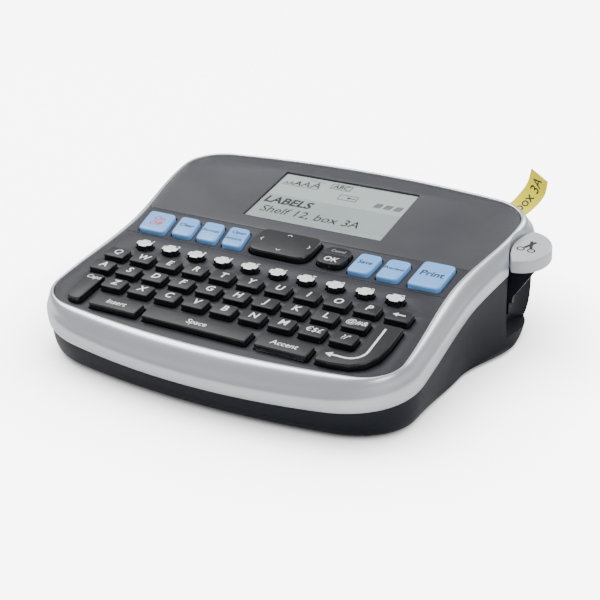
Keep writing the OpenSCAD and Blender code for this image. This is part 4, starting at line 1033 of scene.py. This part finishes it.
# --- screen ----------------------------------------------------------------
@dataclass
class Screen:
    """The window and what the screen under it shows, in millimetres."""

    shop: Workshop
    width: float = 57.6
    low: float = 19.6
    high: float = 55.0
    face_n: float = -0.78

    def build(self) -> None:
        """Builds the window, the screen and its signs."""
        glass = copy_of("display_window")
        for vert in glass.verts:
            if PLANE.height(vert.co) < -1:
                vert.co += PLANE.normal * ((self.face_n + 0.1 - PLANE.height(vert.co)) * MM)
        round_edges(glass, 0.1, 2)
        self.shop.piece("window_pane", glass, "display_window", [Paint.GLASS], ["display_window"])
        panel = copy_of("lcd_panel")
        round_edges(panel, 0.2, 2)
        middle = (self.low + self.high) / 2
        size = Matrix.Diagonal(((self.width - 0.6) * MM, (self.high - self.low - 0.6) * MM, 0.7 * MM, 1))
        bmesh.ops.create_cube(panel, size=1.0, matrix=PLANE.place(0, middle, self.face_n - 0.365) @ size)
        self.shop.piece("lcd_sheet", panel, "lcd_panel", [Paint.LCD], ["lcd_panel"])
        band = Printer()
        band.bar((0.4 - self.width / 2, self.low + 0.4), (self.width / 2 - 0.4, self.low + 19), self.face_n)
        self.shop.piece("lcd_matrix_band", band.done(), "lcd_panel", [Paint.LCD_BAND])
        self._text()
        self._icons()

    def _text(self) -> None:
        """The two lines of text."""
        n = self.face_n + 0.03
        ink = Printer()
        ink.words(Words("LABELS", -17.2, self.low + 14.6, n, 6.4, 0.03, 0.12))
        ink.words(Words(LABEL_TEXT, -4.4, self.low + 7.6, n, 6.4, 0.004, 0.12, stretch=0.98))
        self.shop.piece("lcd_text", ink.done(), "lcd_panel", [Paint.LCD_INK])

    def _icons(self) -> None:
        """Letter sizes, the style box, the label sign and the shaded boxes along the top."""
        n = self.face_n + 0.03
        dark, pale = Printer(), Printer()
        x = -26.6
        for size, ink in ((2.6, pale), (3.2, pale), (4.6, dark), (5.4, pale), (6.2, pale)):
            x += size * 0.36
            ink.words(Words("A", x, self.high - 7.6 + size * 0.33, n, size, 0.02, 0.1))
            x += size * 0.36
        pale.bar((-27, self.high - 8.3), (-11, self.high - 8.1), n)
        pale.bar((-17, self.high - 2.5), (-10, self.high - 2.3), n)
        dark.frame((-7.0, self.high - 5.6), (1.6, self.high - 1.6), n, 0.28)
        dark.words(Words("ABC", -2.7, self.high - 3.6, n, 3.5, 0.012, 0.05))
        dark.frame((-0.6, self.high - 12.2), (7.2, self.high - 8.4), n, 0.24)
        dark.stroke([(6.4, self.high - 10.3), (3.6, self.high - 10.3)], n, 0.5)
        dark.head(3.6, self.high - 10.3, n, 0.95, 90)
        for i in range(3):
            left = 15.4 + i * 4.1
            for k in range(4):
                dark.stroke([(left + k * 0.8, self.high - 13.4), (left + 0.8 + k * 0.7, self.high - 10.2)],
                            n, 0.42)
        self.shop.piece("lcd_signs", dark.done(), "lcd_panel", [Paint.LCD_INK])
        self.shop.piece("lcd_pale_signs", pale.done(), "lcd_panel", [Paint.LCD_PALE])


# --- cutter and tape -------------------------------------------------------
@dataclass
class Cutter:
    """The press-down cutter button and its scissors sign, in millimetres."""

    shop: Workshop
    x: float = 75.5
    s: float = 37.2
    drop: float = 2.3
    thick: float = 5.0

    def build(self) -> None:
        """Builds the button with its scissors sign."""
        bm = copy_of("cutter_button")
        round_edges(bm, 0.55, 4, lambda p: PLANE.height(p) > -self.drop - 0.05)
        underside = -self.drop - self.thick
        round_edges(bm, 0.25, 2, lambda p: abs(PLANE.height(p) - underside) < 0.1)
        # Faces under the button's underside take the black base finish as painted shade; the slanted edge
        # keeps the button's grey.
        for face in bm.faces:
            painted_shade_below = PLANE.height(face.calc_center_median()) < underside - 0.2
            slanted = face.normal.x > 0.2 and face.normal.z < -0.2
            face.material_index = 1 if painted_shade_below and not slanted else 0
        self.shop.piece("cutter_lever", bm, "cutter_button", [Paint.CUTTER, Paint.BASE],
                        ["cutter_button"], 30)
        self._scissors()

    def _scissors(self) -> None:
        """Two crossed blades and two finger loops."""
        n = 0.02 - self.drop
        ink = Printer()
        x, s = self.x + 2.4, self.s - 0.4
        ink.stroke([(x - 1.0, s - 0.6), (x + 1.9, s + 3.9)], n, 1.15)
        ink.stroke([(x + 1.4, s - 0.8), (x + 0.1, s + 4.1)], n, 1.15)
        for cx, cy in ((x - 2.0, s - 1.7), (x + 1.9, s - 1.9)):
            ring = [(cx + 1.25 * math.cos(a), cy + 1.0 * math.sin(a))
                    for a in (math.tau * i / 20 for i in range(21))]
            ink.stroke(ring, n, 0.55)
        self.shop.piece("cutter_sign", ink.done(), "cutter_button", [Paint.LEGEND_DARK])


@dataclass
class LabelStrip:
    """The printed label that curls up behind the case, in millimetres."""

    shop: Workshop
    start: Vector = field(default_factory=lambda: Vector((0, 57.2, 35.19)))
    width: float = 12.0
    thick: float = 0.3
    margin: float = 1.6
    first_print: float = 6.0
    path: Sequence[tuple[tuple[float, float, float], tuple[float, float, float]]] = (
        ((55, 0, 0), (1, 0, 0)), ((58.5, 5.4, 0.4), (0.94, -0.34, 0)), ((63, 10, 2.8), (0.8, -0.6, 0)),
        ((66.3, 12.4, 6.6), (0.8, -0.6, -0.02)), ((68.6, 13.7, 11), (0.77, -0.63, -0.08)),
        ((69.5, 13.6, 16.4), (0.74, -0.65, -0.12)))

    def _spline(self, which: int, u: float) -> Vector:
        """The middle line (0) or the direction across (1) at u knots from the blade."""
        knots = [Vector(p[which]) for p in self.path]
        i = min(int(u), len(knots) - 2)
        t = u - i
        a, b, c, d = knots[max(i - 1, 0)], knots[i], knots[i + 1], knots[min(i + 2, len(knots) - 1)]
        return 0.5 * (2 * b + (c - a) * t + (2 * a - 5 * b + 4 * c - d) * t * t
                      + (3 * b - a - 3 * c + d) * t ** 3)

    def at(self, u: float, v: float, lift: float) -> Vector:
        """A point of the strip.

        Args:
            u: Knots along it from the blade.
            v: Millimetres across it from its middle.
            lift: Millimetres above its middle surface.

        Returns:
            The point, in metres.
        """
        side = self._spline(1, u).normalized()
        ahead = self._spline(0, min(u + 0.02, 5)) - self._spline(0, max(u - 0.02, 0))
        up = side.cross(ahead).normalized()
        return (self.start + self._spline(0, u) + side * v + up * lift) * MM

    def build(self) -> None:
        """Builds the strip and prints on it."""
        last = len(self.path) - 1
        half, thin = self.width / 2, self.thick / 2
        bm = bmesh.new()
        bmesh.ops.create_grid(bm, x_segments=60, y_segments=12, size=1.0)
        bmesh.ops.solidify(bm, geom=bm.faces[:], thickness=0.1)
        middle = sum(v.co.z for v in bm.verts) / len(bm.verts)
        for vert in bm.verts:
            side = 1 if vert.co.z > middle else -1
            vert.co = self.at((vert.co.x + 1) / 2 * last, vert.co.y * half, side * thin)
        bmesh.ops.recalc_face_normals(bm, faces=bm.faces)
        self.shop.piece("printed_label", bm, "label_tape", [Paint.TAPE], ["label_tape"], 60)
        self._print(last)

    def _print(self, last: int) -> None:
        """Lays generic words along the strip, reading towards its free end."""
        ink = Printer()
        ink.words(Words(LABEL_TEXT, 0, 0, 0, 8.0, 0.012, 0.12, stretch=0.62), Matrix.Identity(4))
        bm = ink.done()
        bmesh.ops.subdivide_edges(bm, edges=[e for e in bm.edges if e.calc_length() > 0.0008], cuts=2)
        marks = self._marks(last)
        run = marks[-1][0]
        end = max(v.co.x for v in bm.verts) / MM
        stray = []
        for vert in bm.verts:
            along = run - self.margin - (end - vert.co.x / MM)
            if along <= self.first_print:
                stray.append(vert)
            k = min(range(len(marks)), key=lambda j: abs(marks[j][0] - along))
            k = min(max(k, 1), len(marks) - 1)
            (r0, u0), (r1, u1) = marks[k - 1], marks[k]
            u = u0 + (u1 - u0) * (along - r0) / (r1 - r0)
            lift = self.thick / 2 + 0.02 + (0.01 if vert.co.z > 0 else -0.01)
            vert.co = self.at(max(0.0, min(float(last), u)), -vert.co.y / MM, lift)
        bmesh.ops.delete(bm, geom=stray, context="VERTS")
        self.shop.piece("label_words", bm, "label_tape", [Paint.LCD_INK])

    def _marks(self, last: int, steps: int = 200) -> list[tuple[float, float]]:
        """Pairs of millimetres along the strip and knots along it.

        Args:
            last: Knots along the whole strip.
            steps: Steps in which its length is summed.

        Returns:
            The pairs, from the blade to the free end.
        """
        run, marks = 0.0, [(0.0, 0.0)]
        for i in range(steps):
            a, b = i * last / steps, (i + 1) * last / steps
            run += (self._spline(0, b) - self._spline(0, a)).length
            marks.append((run, b))
        return marks


# --- the rest --------------------------------------------------------------
@dataclass
class Trim:
    """The underside, the socket and the works inside: each CAD shape with rounded edges and its finish."""

    shop: Workshop
    finishes: Sequence[tuple[Paint, float, Sequence[str]]] = (
        (Paint.BASE, 0.25, ("cassette_door", "battery_door")),
        (Paint.RUBBER, 0.35, ("rubber_feet", "platen_roller", "keypad_mat")),
        (Paint.STEEL, 0.15, ("case_screws", "door_pins", "gear_axles", "platen_shaft", "drive_motor",
                             "mechanism_frame", "cutter_blade")),
        (Paint.STEEL, 0.0, ("cutter_spring",)),
        (Paint.NYLON, 0.08, ("idler_gear_front", "idler_gear_middle", "idler_gear_rear", "platen_gear",
                             "ribbon_gear")),
        (Paint.BRASS, 0.08, ("motor_pinion",)),
        (Paint.JACK, 0.3, ("dc_jack",)),
        (Paint.BOARD, 0.1, ("main_board", "display_board")),
        (Paint.KEY_SIDE, 0.1, ("nav_pivot",)),
        (Paint.BROWN, 0.15, ("print_head",)),
        (Paint.RIBBON, 0.2, ("ribbon_takeup", "ribbon_supply")),
        (Paint.TAPE, 0.05, ("tape_spool", "tape_web")),
        (Paint.CASSETTE, 0.3, ("cassette_shell",)),
        (Paint.CELLS, 1.2, ("battery_pack",)))

    def build(self) -> None:
        """Builds every remaining piece."""
        for paint, rounding, nodes in self.finishes:
            for node in nodes:
                bm = copy_of(node)
                if rounding:
                    round_edges(bm, rounding, 2)
                self.shop.piece(node + "_part", bm, node, [paint], [node])


# --- studio ----------------------------------------------------------------
@dataclass
class Studio:
    """Pale floor, soft lights and the camera."""

    eye: Vector = field(default_factory=lambda: Vector((0.19635, -0.34670, 0.19594)))
    lens: float = 72.24
    air: float = 0.38
    lamps: Sequence[tuple[str, tuple[float, float, float], float, float]] = (
        ("key", (-0.55, 0.15, 0.95), 0.7, 14.5), ("fill", (0.85, -0.55, 0.75), 0.6, 5.0),
        ("rear", (0.35, 0.85, 0.7), 0.6, 7.0))
    glow: float = 6.0
    shadow_reach: float = 0.05
    shadow_depth: float = 2.0

    def build(self) -> None:
        """Builds the floor, the lights and the camera."""
        self._floor()
        for lamp in self.lamps:
            self._light(*lamp)
        world = bpy.data.worlds.new("studio_air")
        world.use_nodes = True
        sky = world.node_tree.nodes["Background"]
        sky.inputs["Color"].default_value, sky.inputs["Strength"].default_value = (1, 1, 1, 1), self.air
        bpy.context.scene.world = world
        lens = bpy.data.cameras.new("camera")
        lens.lens, lens.sensor_width = self.lens, 36.0
        lens.clip_start, lens.clip_end = 0.01, 20.0
        camera = bpy.data.objects.new("camera", lens)
        right, up = Vector((0.87715, 0.48022, 0.0)), Vector((-0.19991, 0.36514, 0.90924))
        back = Vector((0.43664, -0.79754, 0.41628))
        camera.matrix_world = Matrix.Translation(self.eye) @ Matrix((right, up, back)).transposed().to_4x4()
        bpy.context.scene.collection.objects.link(camera)
        bpy.context.scene.camera = camera

    def _floor(self) -> None:
        """A wide pale floor that glows for the camera only, and less where the case is near: ambient
        occlusion dims the glow into a painted contact shadow.
        """
        bm = bmesh.new()
        bmesh.ops.create_grid(bm, x_segments=1, y_segments=1, size=4.0)
        mesh = bpy.data.meshes.new("floor")
        bm.to_mesh(mesh)
        bm.free()
        paint = bpy.data.materials.new("floor_white")
        paint.use_nodes = True
        nodes = paint.node_tree.nodes
        shader = nodes["Principled BSDF"]
        shader.inputs["Base Color"].default_value = (0.9, 0.9, 0.9, 1)
        shader.inputs["Roughness"].default_value = 0.6
        shader.inputs["Emission Color"].default_value = (1, 1, 1, 1)
        seen, open_sky = nodes.new("ShaderNodeLightPath"), nodes.new("ShaderNodeAmbientOcclusion")
        glow, deeper, shade = (nodes.new("ShaderNodeMath") for _ in range(3))
        open_sky.inputs["Distance"].default_value = self.shadow_reach
        glow.operation, glow.inputs[1].default_value = "MULTIPLY", self.glow
        deeper.operation, deeper.inputs[1].default_value = "POWER", self.shadow_depth
        shade.operation = "MULTIPLY"
        join(paint.node_tree, (seen, "Is Camera Ray", glow, 0), (glow, 0, shade, 0),
             (open_sky, "AO", deeper, 0), (deeper, 0, shade, 1), (shade, 0, shader, "Emission Strength"))
        mesh.materials.append(paint)
        floor = bpy.data.objects.new("floor", mesh)
        bpy.context.scene.collection.objects.link(floor)

    @staticmethod
    def _light(name: str, at: tuple[float, float, float], size: float, power: float) -> None:
        """Adds a soft square light aimed at the case.

        Args:
            name: Name of the light.
            at: Its place.
            size: Its side, in metres.
            power: Its power, in watts.
        """
        lamp = bpy.data.lights.new(name, "AREA")
        lamp.size, lamp.energy = size, power
        shown = bpy.data.objects.new(name, lamp)
        shown.matrix_world = Matrix.Translation(at) @ (
            (Vector((0, 0, 0.02)) - Vector(at)).to_track_quat("-Z", "Y").to_matrix().to_4x4())
        bpy.context.scene.collection.objects.link(shown)


def main() -> None:
    """Builds the label maker and its studio."""
    logging.basicConfig(level=logging.INFO, format="%(name)s: %(message)s")
    shop, hollow = Workshop(), Hollow()
    keyboard = Keyboard(shop)
    Studio().build()
    for part in (Rim(shop, hollow), Base(shop, hollow), Panels(shop), keyboard, FunctionKeys(shop, keyboard),
                 Screen(shop), Cutter(shop), LabelStrip(shop), Trim(shop)):
        part.build()
    LOG.info("%d pieces", len(shop.pieces))


if __name__ == "__main__":
    main()
